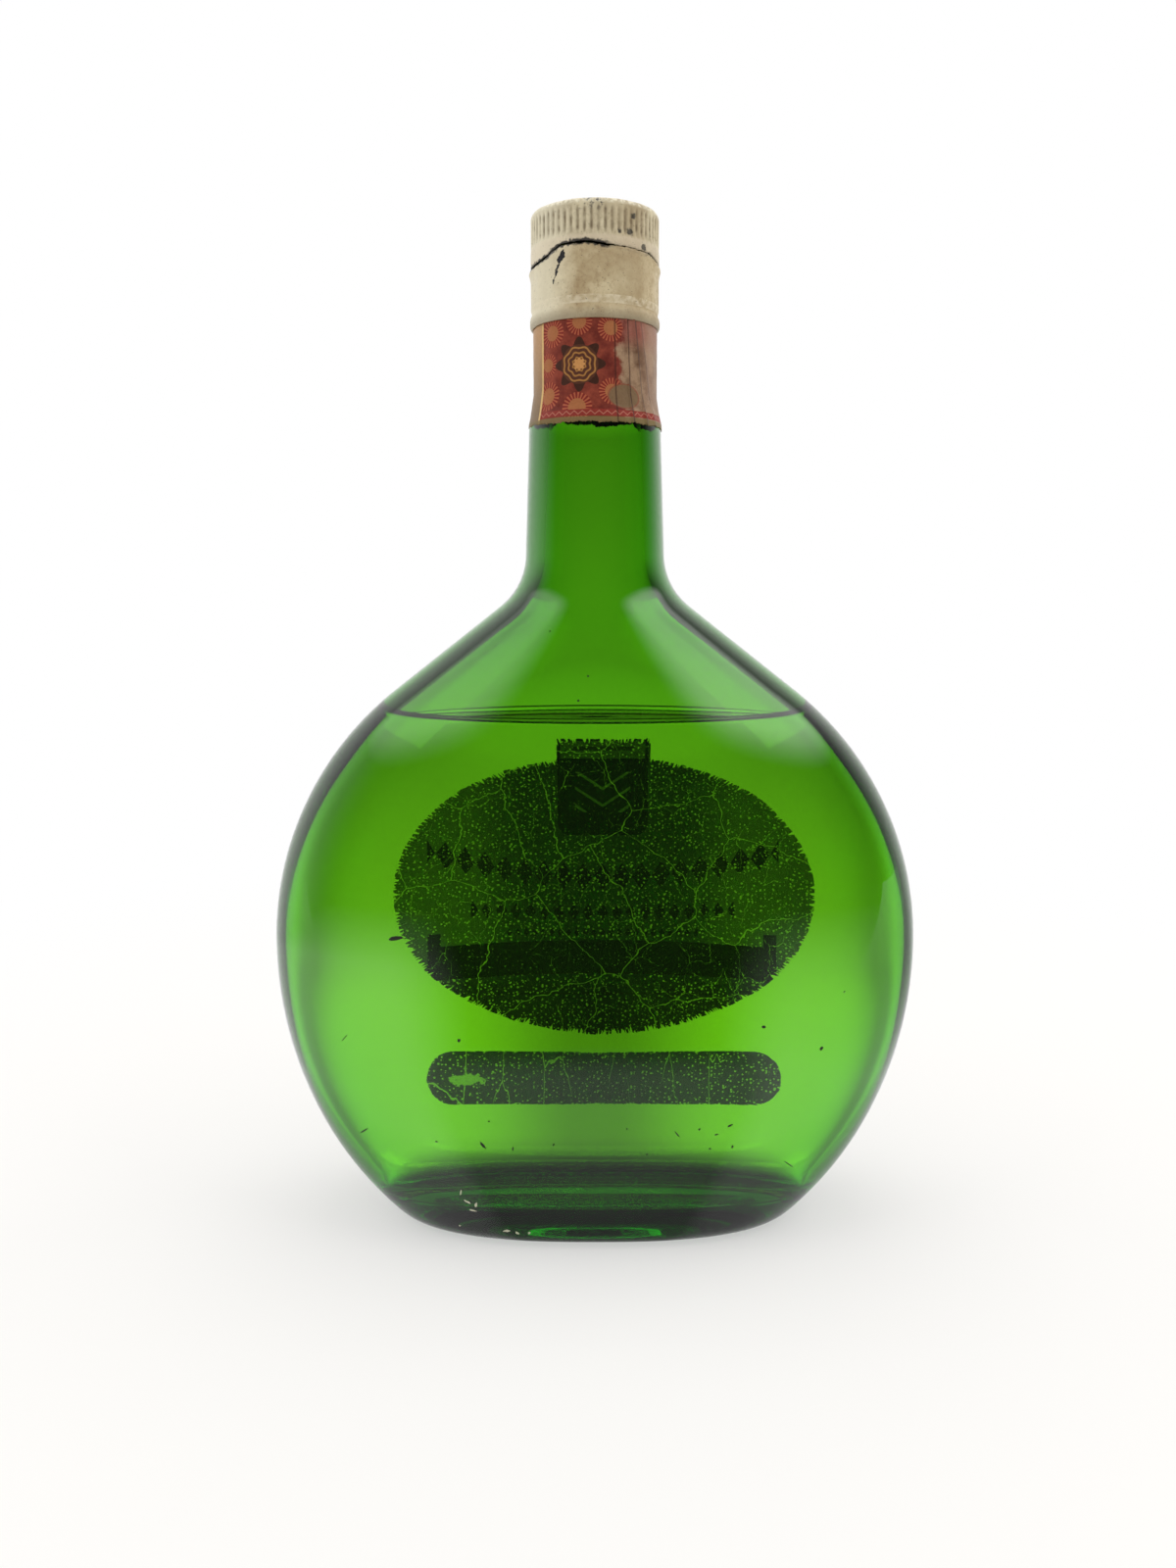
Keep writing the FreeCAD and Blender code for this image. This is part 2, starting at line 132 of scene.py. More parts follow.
def paint(tree, base, *coats):
    """Coats of colour over a base, each a (share, colour): where its share is 1 it covers."""
    for share, colour in coats:
        base = add(tree, "Mix", share, {6: base, 7: colour}, data_type="RGBA").outputs[2]
    return base


def all_of(tree, first, *others):
    """Masks multiplied: 1 where all of them are 1."""
    for mask in others:
        first = add(tree, "Math MULTIPLY", first, mask)
    return first


def any_of(tree, first, *others):
    """The largest of some masks: 1 where any of them is 1."""
    for mask in others:
        first = add(tree, "Math MAXIMUM", first, mask)
    return first


def material(name):
    """An empty material and its tree."""
    made = bpy.data.materials.new(name)
    made.use_nodes = True
    made.node_tree.nodes.clear()
    return made, made.node_tree


# %% [markdown]
# ## The bottle's outline
# The body is drawn by two outlines, one seen from the front and one from the side, each made
# of a heel arc, a lower and an upper arc, a straight slope and a hollow arc into the neck.
# These are the same named sizes as the solid's, so the smooth mesh lies on it.

# %% Sizes in millimetres
BODY_WIDTH, BODY_DEPTH = 156.5, 68.0
WIDEST, NECK_BASE, NECK_BASE_RADIUS = 67.0, 161.3, 16.6
WALL, NECK_WALL, BASE, INNER_HEEL = 4.0, 4.6, 8.0, 8.0
FRONT_CURVES = dict(lower=86.0, upper=78.25, heel=10.5, shoulder=16.0)
SIDE_CURVES = dict(lower=230.0, upper=155.0, heel=6.0, shoulder=58.0)
FOOT_SQUARENESS = 2.6
PUNT_MARGIN, PUNT_RISE = 5.0, 3.0
LIP_RADIUS, LIP_HEIGHT, MOUTH_RADIUS, LIP_ROUND = 13.6, 238.8, 9.3, 1.0
LEDGE = [(NECK_BASE_RADIUS, NECK_BASE), (15.65, 191.5), (14.5, 196.5), (14.5, 218.0),
         (LIP_RADIUS, 218.0), (LIP_RADIUS, LIP_HEIGHT)]  # radius and height up the neck
LEVEL = 121.8  # the brandy's surface


class Outline:
    """Half the width of the body over the height above its floor, in millimetres."""

    def __init__(self, half, lower, upper, heel, shoulder, neck, widest, neck_base):
        self.lower, self.upper, self.heel, self.shoulder = lower, upper, heel, shoulder
        self.neck, self.widest, self.neck_base = neck, widest, neck_base
        self.lower_x, self.upper_x = half - lower, half - upper
        self.foot = self.lower_x + math.sqrt((lower - heel) ** 2 - (widest - heel) ** 2)
        reach = math.hypot(self.foot - self.lower_x, widest - heel)
        self.heel_top = heel - heel * (widest - heel) / reach
        self.hollow_x = neck + shoulder
        run, rise = self.hollow_x - self.upper_x, neck_base - widest
        angle = math.atan2(rise, run) - math.acos((upper + shoulder) / math.hypot(run, rise))
        self.slope = math.tan(angle)
        self.slope_x = self.upper_x + upper * math.cos(angle)
        self.slope_bottom = widest + upper * math.sin(angle)
        self.slope_top = neck_base - shoulder * math.sin(angle)

    def half_at(self, h):
        if h < self.heel_top:
            return self.foot + math.sqrt(max(self.heel ** 2 - (self.heel - h) ** 2, 0))
        if h < self.widest:
            return self.lower_x + math.sqrt(self.lower ** 2 - (h - self.widest) ** 2)
        if h < self.slope_bottom:
            return self.upper_x + math.sqrt(self.upper ** 2 - (h - self.widest) ** 2)
        if h < self.slope_top:
            return self.slope_x - self.slope * (h - self.slope_bottom)
        if h < self.neck_base:
            return self.hollow_x - math.sqrt(max(self.shoulder ** 2 - (self.neck_base - h) ** 2, 0))
        return self.neck


def outlines(inset, floor, neck, heel=None):
    """Front and side outlines of the outside, or of the cavity one wall further in."""
    made = []
    for width, curves in ((BODY_WIDTH, FRONT_CURVES), (BODY_DEPTH, SIDE_CURVES)):
        made.append(Outline(width / 2 - inset, curves["lower"] - inset, curves["upper"] - inset,
                            heel or curves["heel"], curves["shoulder"] + inset, neck,
                            WIDEST - floor, NECK_BASE - floor))
    return made


OUTSIDE = outlines(0.0, 0.0, NECK_BASE_RADIUS)
INSIDE = outlines(WALL, BASE, NECK_BASE_RADIUS - NECK_WALL, INNER_HEEL)
print("foot: %.1f x %.1f mm" % (2 * OUTSIDE[0].foot, 2 * OUTSIDE[1].foot))


# %% Rings of the body
AROUND = 192
TURN = 2 * np.pi * np.arange(AROUND) / AROUND


def squareness(z):
    """Exponent of the oval section: squarer at the foot, an ellipse from the widest height."""
    part = min(z / WIDEST, 1.0)
    part = part * part * (3 - 2 * part)
    return FOOT_SQUARENESS + (2.0 - FOOT_SQUARENESS) * part


def oval_ring(half_x, half_y, z, power=2.0, turn=TURN):
    """Ring of points of the oval |x/a|^n + |y/b|^n = 1, in metres from millimetres."""
    c, s = np.cos(turn), np.sin(turn)
    x = half_x * np.sign(c) * np.abs(c) ** (2 / power)
    y = half_y * np.sign(s) * np.abs(s) ** (2 / power)
    return np.stack([x, y, np.full_like(x, z)], 1) * MM


def body_rings(pair, floor, heights, grow=0.0):
    return [oval_ring(pair[0].half_at(h) + grow, pair[1].half_at(h) + grow, floor + h,
                      squareness(floor + h)) for h in heights]


def heights_of(pair, top, step=1.6):
    """Heights above the floor: close at the heel, then even steps up to top."""
    heel = pair[0].heel
    low = [heel * (1 - math.cos(math.pi / 2 * k / 9)) for k in range(10)]
    count = math.ceil((top - heel) / step)
    return low + [heel + (top - heel) * (k + 1) / count for k in range(count)]


# %% [markdown]
# ## Green bottle glass
# Pressed and blown soda-lime glass, about 4 mm thick, tinted right through by iron and
# chromium. The colour belongs in the volume and not on the surface: thick places, seen along
# the wall, go darker and more saturated, as in the real bottle. So the surface is clear,
# smooth glass with an index of 1.52, and Volume Absorption inside gives the green. The skin
# has to be closed for that: it runs from the hollow underside up the outside, over the lip,
# down the bore and round the cavity.

# %% The glass skin
def neck_rings(profile, step=1.5):
    """Round rings along a (radius, height) profile."""
    rings = []
    for (r0, z0), (r1, z1) in zip(profile, profile[1:]):
        count = max(1, math.ceil(math.hypot(r1 - r0, z1 - z0) / step))
        for k in range(1, count + 1):
            part = k / count
            rings.append(oval_ring(r0 + (r1 - r0) * part, r0 + (r1 - r0) * part, z0 + (z1 - z0) * part))
    return rings


foot_x, foot_y = OUTSIDE[0].foot - PUNT_MARGIN, OUTSIDE[1].foot - PUNT_MARGIN
rings = [oval_ring(foot_x * k / 6, foot_y * k / 6, PUNT_RISE, FOOT_SQUARENESS) for k in (1, 2, 3)]
for k in range(1, 7):
    shrink = math.sqrt(1 - 0.75 * (1 - k / 6))
    rings.append(oval_ring(foot_x * shrink, foot_y * shrink, PUNT_RISE * (1 - k / 6), FOOT_SQUARENESS))
rings += body_rings(OUTSIDE, 0.0, heights_of(OUTSIDE, NECK_BASE))
rings += neck_rings(LEDGE[:-1] + [(LIP_RADIUS, LIP_HEIGHT - LIP_ROUND)])
for k in range(1, 7):
    bend = math.pi / 2 * k / 6
    radius = LIP_RADIUS - LIP_ROUND + LIP_ROUND * math.cos(bend)
    rings.append(oval_ring(radius, radius, LIP_HEIGHT - LIP_ROUND + LIP_ROUND * math.sin(bend)))
bore = NECK_BASE_RADIUS - NECK_WALL
rings += neck_rings([(LIP_RADIUS - LIP_ROUND, LIP_HEIGHT), (MOUTH_RADIUS, LIP_HEIGHT),
                     (bore, NECK_BASE)], 2.5)
cavity = heights_of(INSIDE, NECK_BASE - BASE)
rings += body_rings(INSIDE, BASE, cavity[::-1][1:])
rings += [oval_ring(INSIDE[0].foot * k / 4, INSIDE[1].foot * k / 4, BASE, FOOT_SQUARENESS) for k in (3, 2, 1)]
glass = skin("bottle_glass", rings, start=(0, 0, PUNT_RISE * MM), end=(0, 0, BASE * MM))

# %% The glass material
GLASS_INDEX, GLASS_LOSS = 1.52, (235.0, 60.0, 560.0)


def clear_volume(name, index, loss):
    """A smooth clear liquid or glass. loss is what a metre of it absorbs of red, green and blue."""
    made, tree = material(name)
    surface = add(tree, "BsdfPrincipled", {"Base Color": (1, 1, 1, 1), "Roughness": 0.0, "IOR": index,
                                           "Transmission Weight": 1.0})
    density = max(loss) * 1.02
    colour = [1 - part / density for part in loss] + [1.0]
    depth = add(tree, "VolumeAbsorption", {"Color": colour, "Density": density})
    add(tree, "OutputMaterial", {"Surface": surface, "Volume": depth})
    return made


glass.data.materials.append(clear_volume("green_soda_lime_glass", GLASS_INDEX, GLASS_LOSS))
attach(glass, "root")
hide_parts("glass_bottle")

# %% [markdown]
# ## Brandy
# A clear, pale amber spirit of about 40 % alcohol, index 1.36. It wets the glass, so it climbs
# the wall by 1.3 mm: the thin dark line at the surface is that curved edge. A Boolean of the
# cavity would give its shape too, but its skin would lie on the glass. This one is worked out
# from the cavity's own rings and reaches 0.05 mm into the wall all round, so that light goes
# from glass to brandy with no film of air between them.

# %% The brandy skin
REACH, CLIMB, CLIMB_WIDTH = 0.05, 1.3, 0.8
BRANDY_INDEX, BRANDY_LOSS = 1.36, (1.2, 2.0, 9.0)
rings = [oval_ring(INSIDE[0].foot * k / 4, INSIDE[1].foot * k / 4, BASE - REACH, FOOT_SQUARENESS)
         for k in (1, 2, 3)]
rings += body_rings(INSIDE, BASE, heights_of(INSIDE, LEVEL + CLIMB - BASE), REACH)
for k, ring in enumerate(rings[3:6]):
    ring[:, 2] = np.maximum(ring[:, 2] - REACH * MM * (1 - k / 3), (BASE - REACH) * MM)
half_x, half_y = (o.half_at(LEVEL - BASE) for o in INSIDE)
for inset in (0.12, 0.3, 0.55, 0.9, 1.4, 2.0, 3.0, 5.0, 9.0, 15.0, 22.0):
    height = LEVEL + CLIMB * math.exp(-inset / CLIMB_WIDTH)
    rings.append(oval_ring(half_x - inset * half_x / half_y, half_y - inset, height))
brandy = skin("brandy_fill", rings, start=(0, 0, (BASE - REACH) * MM), end=(0, 0, LEVEL * MM))
brandy.data.materials.append(clear_volume("pale_brandy", BRANDY_INDEX, BRANDY_LOSS))
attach(brandy, "root")
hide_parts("brandy")

# %% [markdown]
# ## The torn screw cap
# A long aluminium cap, spun and ridged, lacquered ivory. Someone tore it open: the ridged top
# came off the skirt along a jagged line and was put back. Both pieces are thin sheet, so each
# is a skin with an outside, an edge and an inside. The ridges are real relief, because they
# catch the light. The torn edge is a curve of height over angle with fine teeth on it.

# %% Small smooth noise for edges and creases
def wobble(turn, seed, waves, size):
    """A closed random curve over the angle: a sum of seeded sines."""
    rng = np.random.default_rng(seed)
    total = np.zeros_like(turn)
    for wave in waves:
        total += np.sin(wave * turn + rng.uniform(0, 2 * np.pi)) * rng.uniform(0.5, 1.0)
    return size * total / math.sqrt(len(waves))


CAP_AROUND = 720
CAP_TURN = 2 * np.pi * np.arange(CAP_AROUND) / CAP_AROUND
FROM_BACK = np.degrees((CAP_TURN + np.pi / 2 + np.pi) % (2 * np.pi) - np.pi)  # 0 at -Y, + to +X


def over_angle(points):
    """A value over the angle from -Y, read between (degrees, value) points."""
    where, values = zip(*points)
    return np.interp(FROM_BACK, where, values)


def cap_ring(radius, height):
    """A ring of the cap from radii and heights over the angle, in millimetres."""
    radius, height = np.broadcast_arrays(radius, height, CAP_TURN)[:2]
    return np.stack([radius * np.cos(CAP_TURN), radius * np.sin(CAP_TURN), height], 1) * MM


CAP_RADIUS, CAP_TOP, CAP_WALL, CAP_ROUND = 15.1, 239.8, 0.6, 1.2
RIDGES, RIDGE_TOP, RIDGE_BOTTOM, RIDGE_DEPTH = 60, 238.3, 231.4, 0.35
TEAR_POINTS = [(-180, 228.6), (-95, 227.3), (-62, 227.4), (-49, 228.0), (-38, 229.2), (-30, 230.0),
               (-8, 230.3), (15, 229.5), (45, 229.1), (57, 229.2), (66, 228.5), (90, 227.6), (180, 228.6)]
TEAR = over_angle(TEAR_POINTS)
TEETH = wobble(CAP_TURN, 3, (23, 37, 61, 89, 140), 0.13)

# %% The cap's torn-off top
ridge = (0.5 + 0.5 * np.cos(RIDGES * CAP_TURN)) ** 0.7
dent = wobble(CAP_TURN, 5, (3, 5, 9, 17), 0.05)
rings = [cap_ring(r, CAP_TOP - 0.1 * (r / 13.9) ** 2) for r in (4.0, 9.0, 12.5, 13.6)]
for k in range(1, 7):
    bend = math.pi / 2 * k / 6
    rings.append(cap_ring(CAP_RADIUS - CAP_ROUND + CAP_ROUND * math.sin(bend) - 0.06 + dent * 0.6,
                          CAP_TOP - CAP_ROUND - 0.1 + CAP_ROUND * math.cos(bend) + dent))
for k in range(25):
    part = k / 24
    height = RIDGE_TOP + (RIDGE_BOTTOM - RIDGE_TOP) * part
    deep = RIDGE_DEPTH * min(1.0, 5 * part, 4 * (1 - part)) ** 0.8
    rings.append(cap_ring(CAP_RADIUS - 0.05 - deep * (1 - ridge), height))
for k in range(1, 8):
    part = k / 7
    swell = 0.05 * math.sin(math.pi * part)
    rings.append(cap_ring(CAP_RADIUS - 0.05 + swell + wobble(CAP_TURN, 8, (4, 7, 13), 0.04) * part,
                          RIDGE_BOTTOM + (TEAR + TEETH - RIDGE_BOTTOM) * part))
inside = CAP_RADIUS - CAP_WALL
rings.append(cap_ring(inside + 0.25, TEAR + TEETH - 0.03))
rings += [cap_ring(inside, h) for h in (TEAR + TEETH + 0.35, 234.0, CAP_TOP - 1.4)]
rings += [cap_ring(r, CAP_TOP - 0.75) for r in (13.4, 9.0, 4.0)]
cap_top = skin("cap_top_shell", rings, start=(0, 0, CAP_TOP * MM), end=(0, 0, (CAP_TOP - 0.75) * MM))
cap_top.data.flip_normals()

# %% The skirt that stayed on the neck
SKIRT_BOTTOM, COLLAR = 213.4, 14.5
gap = over_angle([(-180, 0.8), (-100, 1.1), (-62, 0.9), (-35, 0.45), (-10, 0.55), (12, 0.5), (20, 0.2),
                  (48, 0.2), (58, 0.7), (75, 1.2), (110, 0.9), (180, 0.8)])
top = TEAR - gap + wobble(CAP_TURN, 11, (19, 31, 47, 75, 120), 0.12)
flare = over_angle([(-180, 0.2), (-90, 0.45), (-40, 0.1), (-25, -0.1), (10, -0.15), (50, 0.0), (66, 0.45),
                    (85, 0.4), (180, 0.2)])
crumple = wobble(CAP_TURN, 14, (5, 8, 13, 21, 34), 0.07)
bead = [(0.0, 0.35), (0.15, 0.6), (0.5, 0.76), (1.0, 0.8), (1.7, 0.8), (2.3, 0.68), (2.8, 0.46), (3.3, 0.36),
        (3.8, 0.42), (4.3, 0.56), (5.0, 0.58)]
rings = [cap_ring(COLLAR + 0.02, SKIRT_BOTTOM)]
bead_lean = over_angle([(-180, 0.0), (-60, 0.35), (0, 0.1), (60, -0.2), (180, 0.0)])
for rise, out in bead:
    lean = bead_lean * min(1.0, rise / 2.8)
    rings.append(cap_ring(COLLAR + out + crumple * min(rise / 8, 0.5), SKIRT_BOTTOM + rise + lean))
for k in range(1, 22):
    part = k / 21
    height = SKIRT_BOTTOM + 5.0 + bead_lean * (1 - part) + (top - SKIRT_BOTTOM - 5.0) * part
    bend = flare * max(0.0, (part - 0.72) / 0.28) ** 1.6
    pinch = wobble(CAP_TURN + 0.2 * part, 17, (4, 9, 15), 0.05) * math.sin(math.pi * part)
    rings.append(cap_ring(COLLAR + 0.56 + bend + crumple * (0.5 + 0.4 * part) + pinch, height))
rings.append(cap_ring(COLLAR + 0.3 + flare, top + 0.02))
rings += [cap_ring(COLLAR + 0.05 + flare * s, top - d) for d, s in ((0.4, 1.0), (2.0, 0.4))]
rings += [cap_ring(COLLAR + 0.02, h) for h in (220.0, 216.0)]
cap_skirt = skin("cap_skirt_shell", rings, loop=True)

# %% Coordinates round the neck
def around_neck(tree, radius):
    """Sockets of the arc length from -Y and of the height, both in millimetres, and the point."""
    point = add(tree, "VectorMath SCALE", add(tree, "TexCoord").outputs["Object"], {"Scale": 1000.0})
    split = add(tree, "SeparateXYZ", point)
    front = add(tree, "Math MULTIPLY", split.outputs["Y"], -1.0)
    angle = add(tree, "Math ARCTAN2", split.outputs["X"], front)
    arc = add(tree, "Math MULTIPLY", angle, radius)
    return arc, split.outputs["Z"], point


def boxed(tree, across, middle, half, up, centre, half_up):
    """1 inside a rectangle of two sockets."""
    return all_of(tree, add(tree, "Math COMPARE", across, middle, half),
                  add(tree, "Math COMPARE", up, centre, half_up))


# %% [markdown]
# The lacquer is a soft ivory enamel, roller-coated on the sheet and now years old. Uneven
# roughness around 0.5 gives it a satin sheen without sharp highlights, and a slight bump
# breaks that up. It has yellowed in patches and is stained where fingers held it. The metal
# never shows, so a Metallic of 0 is right although the cap is aluminium.

# %% Ivory lacquer on aluminium
LACQUER_RADIUS = 15.0
# Black for the painted shade along the tear, where the gap between top and skirt looks dark.
TEAR_SHADE = "#1c1b1e"


def lacquer(name, clean, worn, stain, stain_share, marks):
    made, tree = material(name)
    arc, height, point = around_neck(tree, LACQUER_RADIUS)
    patch = add(tree, "TexNoise", {"Vector": point, "Scale": 0.16, "Detail": 4.0, "Roughness": 0.6})
    patch = add(tree, "MapRange", patch, 0.36, 0.66, 0.0, 1.0)
    colour = paint(tree, clean, (patch, worn))
    fine = add(tree, "TexNoise", {"Vector": point, "Scale": 0.9, "Detail": 6.0, "Roughness": 0.7})
    fine_share = add(tree, "MapRange", fine, 0.5, 0.72, 0.0, stain_share)
    colour = paint(tree, colour, (fine_share, stain))
    clean_side = all_of(tree, add(tree, "MapRange", arc, -4.0, -12.0, 0.0, 0.7),
                        add(tree, "MapRange", arc, -40.0, -28.0))
    handled = all_of(tree, add(tree, "MapRange", arc, 1.0, 8.0, 0.0, 0.55),
                     add(tree, "MapRange", arc, 11.0, 15.0, 1.0, 0.0))
    colour = paint(tree, colour, (clean_side, "#dcd5bb"), (handled, "#a08c68"))
    for mark in marks:
        colour = mark(tree, arc, height, point, colour)
    speck = add(tree, "TexNoise", {"Vector": point, "Scale": 2.6, "Detail": 2.0})
    speck = add(tree, "MapRange", speck, 0.68, 0.73, 0.0, 0.75)
    colour = paint(tree, colour, (speck, "#2c2822"))
    dents = add(tree, "Bump", {"Strength": 0.35, "Distance": 0.0002, "Height": fine})
    rough = add(tree, "MapRange", fine, 0.3, 0.7, 0.42, 0.62)
    surface = add(tree, "BsdfPrincipled",
                  {"Base Color": colour, "Roughness": rough, "IOR": 1.5, "Normal": dents})
    add(tree, "OutputMaterial", {"Surface": surface})
    return made


# %% [markdown]
# What age did to the lacquer, the darker grooves and the painted shade along the tear are put on
# mark by mark. It could be painted by hand into an image, but marks drawn from the arc and the
# height stay sharp at any size and can be moved by a number. Each mark is a function that takes
# the colour so far and returns it with its own coat.

# %% Darker grooves, wear and spots on the cap's top
def groove_darkening(tree, arc, height, point, colour):
    """Darker brown in the grooves between the ridges, uneven along them."""
    flat = add(tree, "VectorMath MULTIPLY", point, (1, 1, 0))
    radius = add(tree, "VectorMath LENGTH", flat).outputs["Value"]
    deep = add(tree, "MapRange", radius, 14.98, 14.78, 0.0, 0.8)
    zone = add(tree, "Math COMPARE", height, 234.8, 3.3)
    uneven = add(tree, "TexNoise", {"Vector": point, "Scale": 0.5, "Detail": 3.0})
    uneven = add(tree, "MapRange", uneven, 0.35, 0.65, 0.25, 1.0)
    return paint(tree, colour, (all_of(tree, deep, zone, uneven), "#6b5a3e"))


def rubbed_rim(tree, arc, height, point, colour):
    """The top edge, rubbed pale, with a black smear at the back."""
    rim = add(tree, "MapRange", height, 238.3, 238.9, 0.0, 0.75)
    scratch = add(tree, "TexNoise", {"Vector": point, "Scale": 1.1, "Detail": 5.0})
    bare = add(tree, "Math MULTIPLY", rim, add(tree, "MapRange", scratch, 0.4, 0.6))
    colour = paint(tree, colour, (bare, "#efe9d2"))
    near = add(tree, "Math COMPARE", arc, -0.5, 3.2)
    high = add(tree, "MapRange", height, 236.6, 238.4, 0.0, 1.0)
    dark = add(tree, "MapRange", scratch, 0.52, 0.6, 0.0, 0.9)
    return paint(tree, colour, (all_of(tree, near, high, dark), "#35343c"))


def soot_spots(tree, arc, height, point, colour):
    """A few black spots on the right of the ridges."""
    for x, z, size in ((5.6, 232.5, 0.45), (8.3, 232.6, 0.75), (9.4, 236.2, 0.5), (12.4, 229.9, 0.7)):
        place = add(tree, "CombineXYZ", arc, height)
        apart = add(tree, "VectorMath DISTANCE", place, (x, z, 0)).outputs["Value"]
        ragged = add(tree, "TexNoise", {"Vector": point, "Scale": 1.6, "Detail": 3.0})
        apart = add(tree, "Math MULTIPLY_ADD", ragged, 1.4, apart)
        colour = paint(tree, colour,
                       (add(tree, "MapRange", apart, size + 0.85, size + 0.6, 0.0, 0.85), "#26231f"))
    return colour


def pinkish_band(tree, arc, height, point, colour):
    """The smooth band under the ridges, paler and a little pink."""
    band = add(tree, "MapRange", height, 231.9, 231.2, 0.0, 0.4)
    return paint(tree, colour, (band, "#d8c8b0"))


# %% Black painted shade along the tear
def above_tear(tree, arc, height, point):
    """How far a place lies above the tear, in millimetres, shaken a little."""
    ragged = add(tree, "TexNoise", {"Vector": point, "Scale": 1.3, "Detail": 4.0})
    ragged = add(tree, "MapRange", ragged, 0.3, 0.7, -0.35, 0.35)
    turn = add(tree, "Math DIVIDE", arc, LACQUER_RADIUS * math.pi / 2)
    line = add(tree, "FloatCurve", {1: add(tree, "MapRange", turn, -1.0, 1.0, 0.0, 1.0)})
    curve = line.mapping.curves[0]
    low, high = 225.0, 233.0
    near_side = [(-90, 227.4)] + [p for p in TEAR_POINTS if -90 < p[0] < 90] + [(90, 227.6)]
    for place, (degrees, z) in enumerate(near_side):
        spot = ((degrees / 90 + 1) / 2, (z - low) / (high - low))
        if place < 2:
            curve.points[place].location = spot
        else:
            curve.points.new(*spot)
    line.mapping.update()
    tear = add(tree, "MapRange", line, 0.0, 1.0, low, high)
    return add(tree, "Math ADD", add(tree, "Math SUBTRACT", height, tear), ragged)


def tear_gap_shade(tree, arc, height, point, colour):
    """Black painted shade of the tear's gap on the cap's side: strong at the left, faint at the right."""
    black = add(tree, "MapRange", above_tear(tree, arc, height, point), 0.5, 0.2, 0.0, 0.92)
    fading = add(tree, "MapRange", arc, 2.0, 4.0, 1.0, 0.2)
    return paint(tree, colour, (all_of(tree, black, fading), TEAR_SHADE))


def tear_gap_shade_below(tree, arc, height, point, colour):
    """Black painted shade of the tear's gap on the skirt's side: as above, and strong again at the far right.
    """
    black = add(tree, "MapRange", above_tear(tree, arc, height, point), -1.05, -0.7, 0.0, 0.92)
    fading = add(tree, "MapRange", arc, 2.0, 4.5, 1.0, 0.12)
    fading = add(tree, "Math ADD", fading, add(tree, "MapRange", arc, 12.5, 15.0, 0.0, 0.75))
    return paint(tree, colour, (all_of(tree, black, fading), TEAR_SHADE))


# %% The blot and the crease on the skirt
def blot(tree, arc, height, point, colour):
    """A black blot with a thin tail, where a drop of tar ran down."""
    shake = add(tree, "TexNoise", {"Vector": point, "Scale": 1.2, "Detail": 3.0})
    shake = add(tree, "MapRange", shake, {3: -0.9, 4: 0.9})
    x = add(tree, "Math ADD", arc, shake)
    tail = add(tree, "Math MULTIPLY_ADD", height, 0.42, -8.0 - 226.9 * 0.42)
    aside = add(tree, "Math ABSOLUTE", add(tree, "Math SUBTRACT", x, tail))
    width = add(tree, "MapRange", height, 225.6, 226.9, 0.2, 1.05)
    closed = add(tree, "MapRange", height, 226.9, 228.6, 1.0, 0.1)
    width = add(tree, "Math MULTIPLY", width, closed)
    drop = add(tree, "Math LESS_THAN", aside, width)
    zone = add(tree, "Math COMPARE", height, 225.0, 3.6)
    return paint(tree, colour, (all_of(tree, drop, zone), "#1d1c20"))


def crease_light(tree, arc, height, point, colour):
    """Lacquer worn pale along the crease above the bead, and darker towards the bottom."""
    crease = add(tree, "Math COMPARE", height, 217.6, 0.9)
    rough = add(tree, "TexNoise", {"Vector": point, "Scale": 0.8, "Detail": 4.0})
    pale = add(tree, "Math MULTIPLY", crease, add(tree, "MapRange", rough, 0.35, 0.65, 0.0, 0.55))
    colour = paint(tree, colour, (pale, "#e3d8bd"))
    low = add(tree, "MapRange", height, 216.2, 214.0, 0.0, 0.6)
    return paint(tree, colour, (low, "#8d816a"))


# %% Lacquer on both pieces
# The marks along the tear paint its gap's shade; the other marks are the lacquer's own.
cap_top.data.materials.append(lacquer("ivory_lacquer_cap", "#d2c6a6", "#b3a586", "#86765a", 0.45,
                                      [groove_darkening, rubbed_rim, pinkish_band, soot_spots, tear_gap_shade]))
cap_skirt.data.materials.append(lacquer("stained_lacquer_skirt", "#cfc09b", "#ab9670", "#8a6f4a", 0.6,
                                        [crease_light, tear_gap_shade_below, blot]))
for piece, node_name, slot_name in ((cap_top, "cap_top", "cap_paint"),
                                    (cap_skirt, "cap_skirt", "skirt_paint")):
    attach(piece, "root")
    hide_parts(node_name)

# %% [markdown]
# ## The paper strip
# A printed paper band that once sealed the cap, glued round the neck and over its ledge. Its
# print is fine engraving in crimson and ochre, here a generic one of rosettes and rays. The
# paper overlaps itself at a torn seam, has buckled into folds at one side, and is ragged
# below. Folds and the overlap are real relief, and the shade in the folds' creases is painted on
# as dark lines; the print is worked out from the arc length round the neck.

# %% The strip's skin
STRIP_BOTTOM, SEAM = 190.3, -13.75


def neck_radius(z):
    return np.interp(z, [p[1] for p in LEDGE[:4]], [p[0] for p in LEDGE[:4]])


def folds(arc, z):
    """How far the paper stands off the neck, in millimetres, over the arc and the height."""
    lean = (z - 202.0) * 0.13
    stand = 0.05 + 0.34 * np.exp(-((arc - 7.9 + lean * 0.4) / 0.35) ** 2)
    stand += 0.42 * np.exp(-((arc - 10.9 + lean) / 0.4) ** 2)
    stand += 0.16 * np.exp(-((arc - 13.5 + lean * 1.6) / 0.8) ** 2)
    stand += 0.12 * ((arc > -13.7) & (arc < 26)) + 0.1 * np.exp(-((arc + 13.5) / 0.25) ** 2)
    stand += 0.03 * np.sin(arc * 1.7 + z * 0.6) * np.sin(z * 0.9)
    return stand


STRIP_RADIUS = 14.7
arc = np.radians(FROM_BACK) * STRIP_RADIUS
ragged = wobble(CAP_TURN, 21, (9, 17, 29, 53, 97, 160), 0.22) + 0.35 * np.clip((-13.2 - arc) / 2, 0, 1)
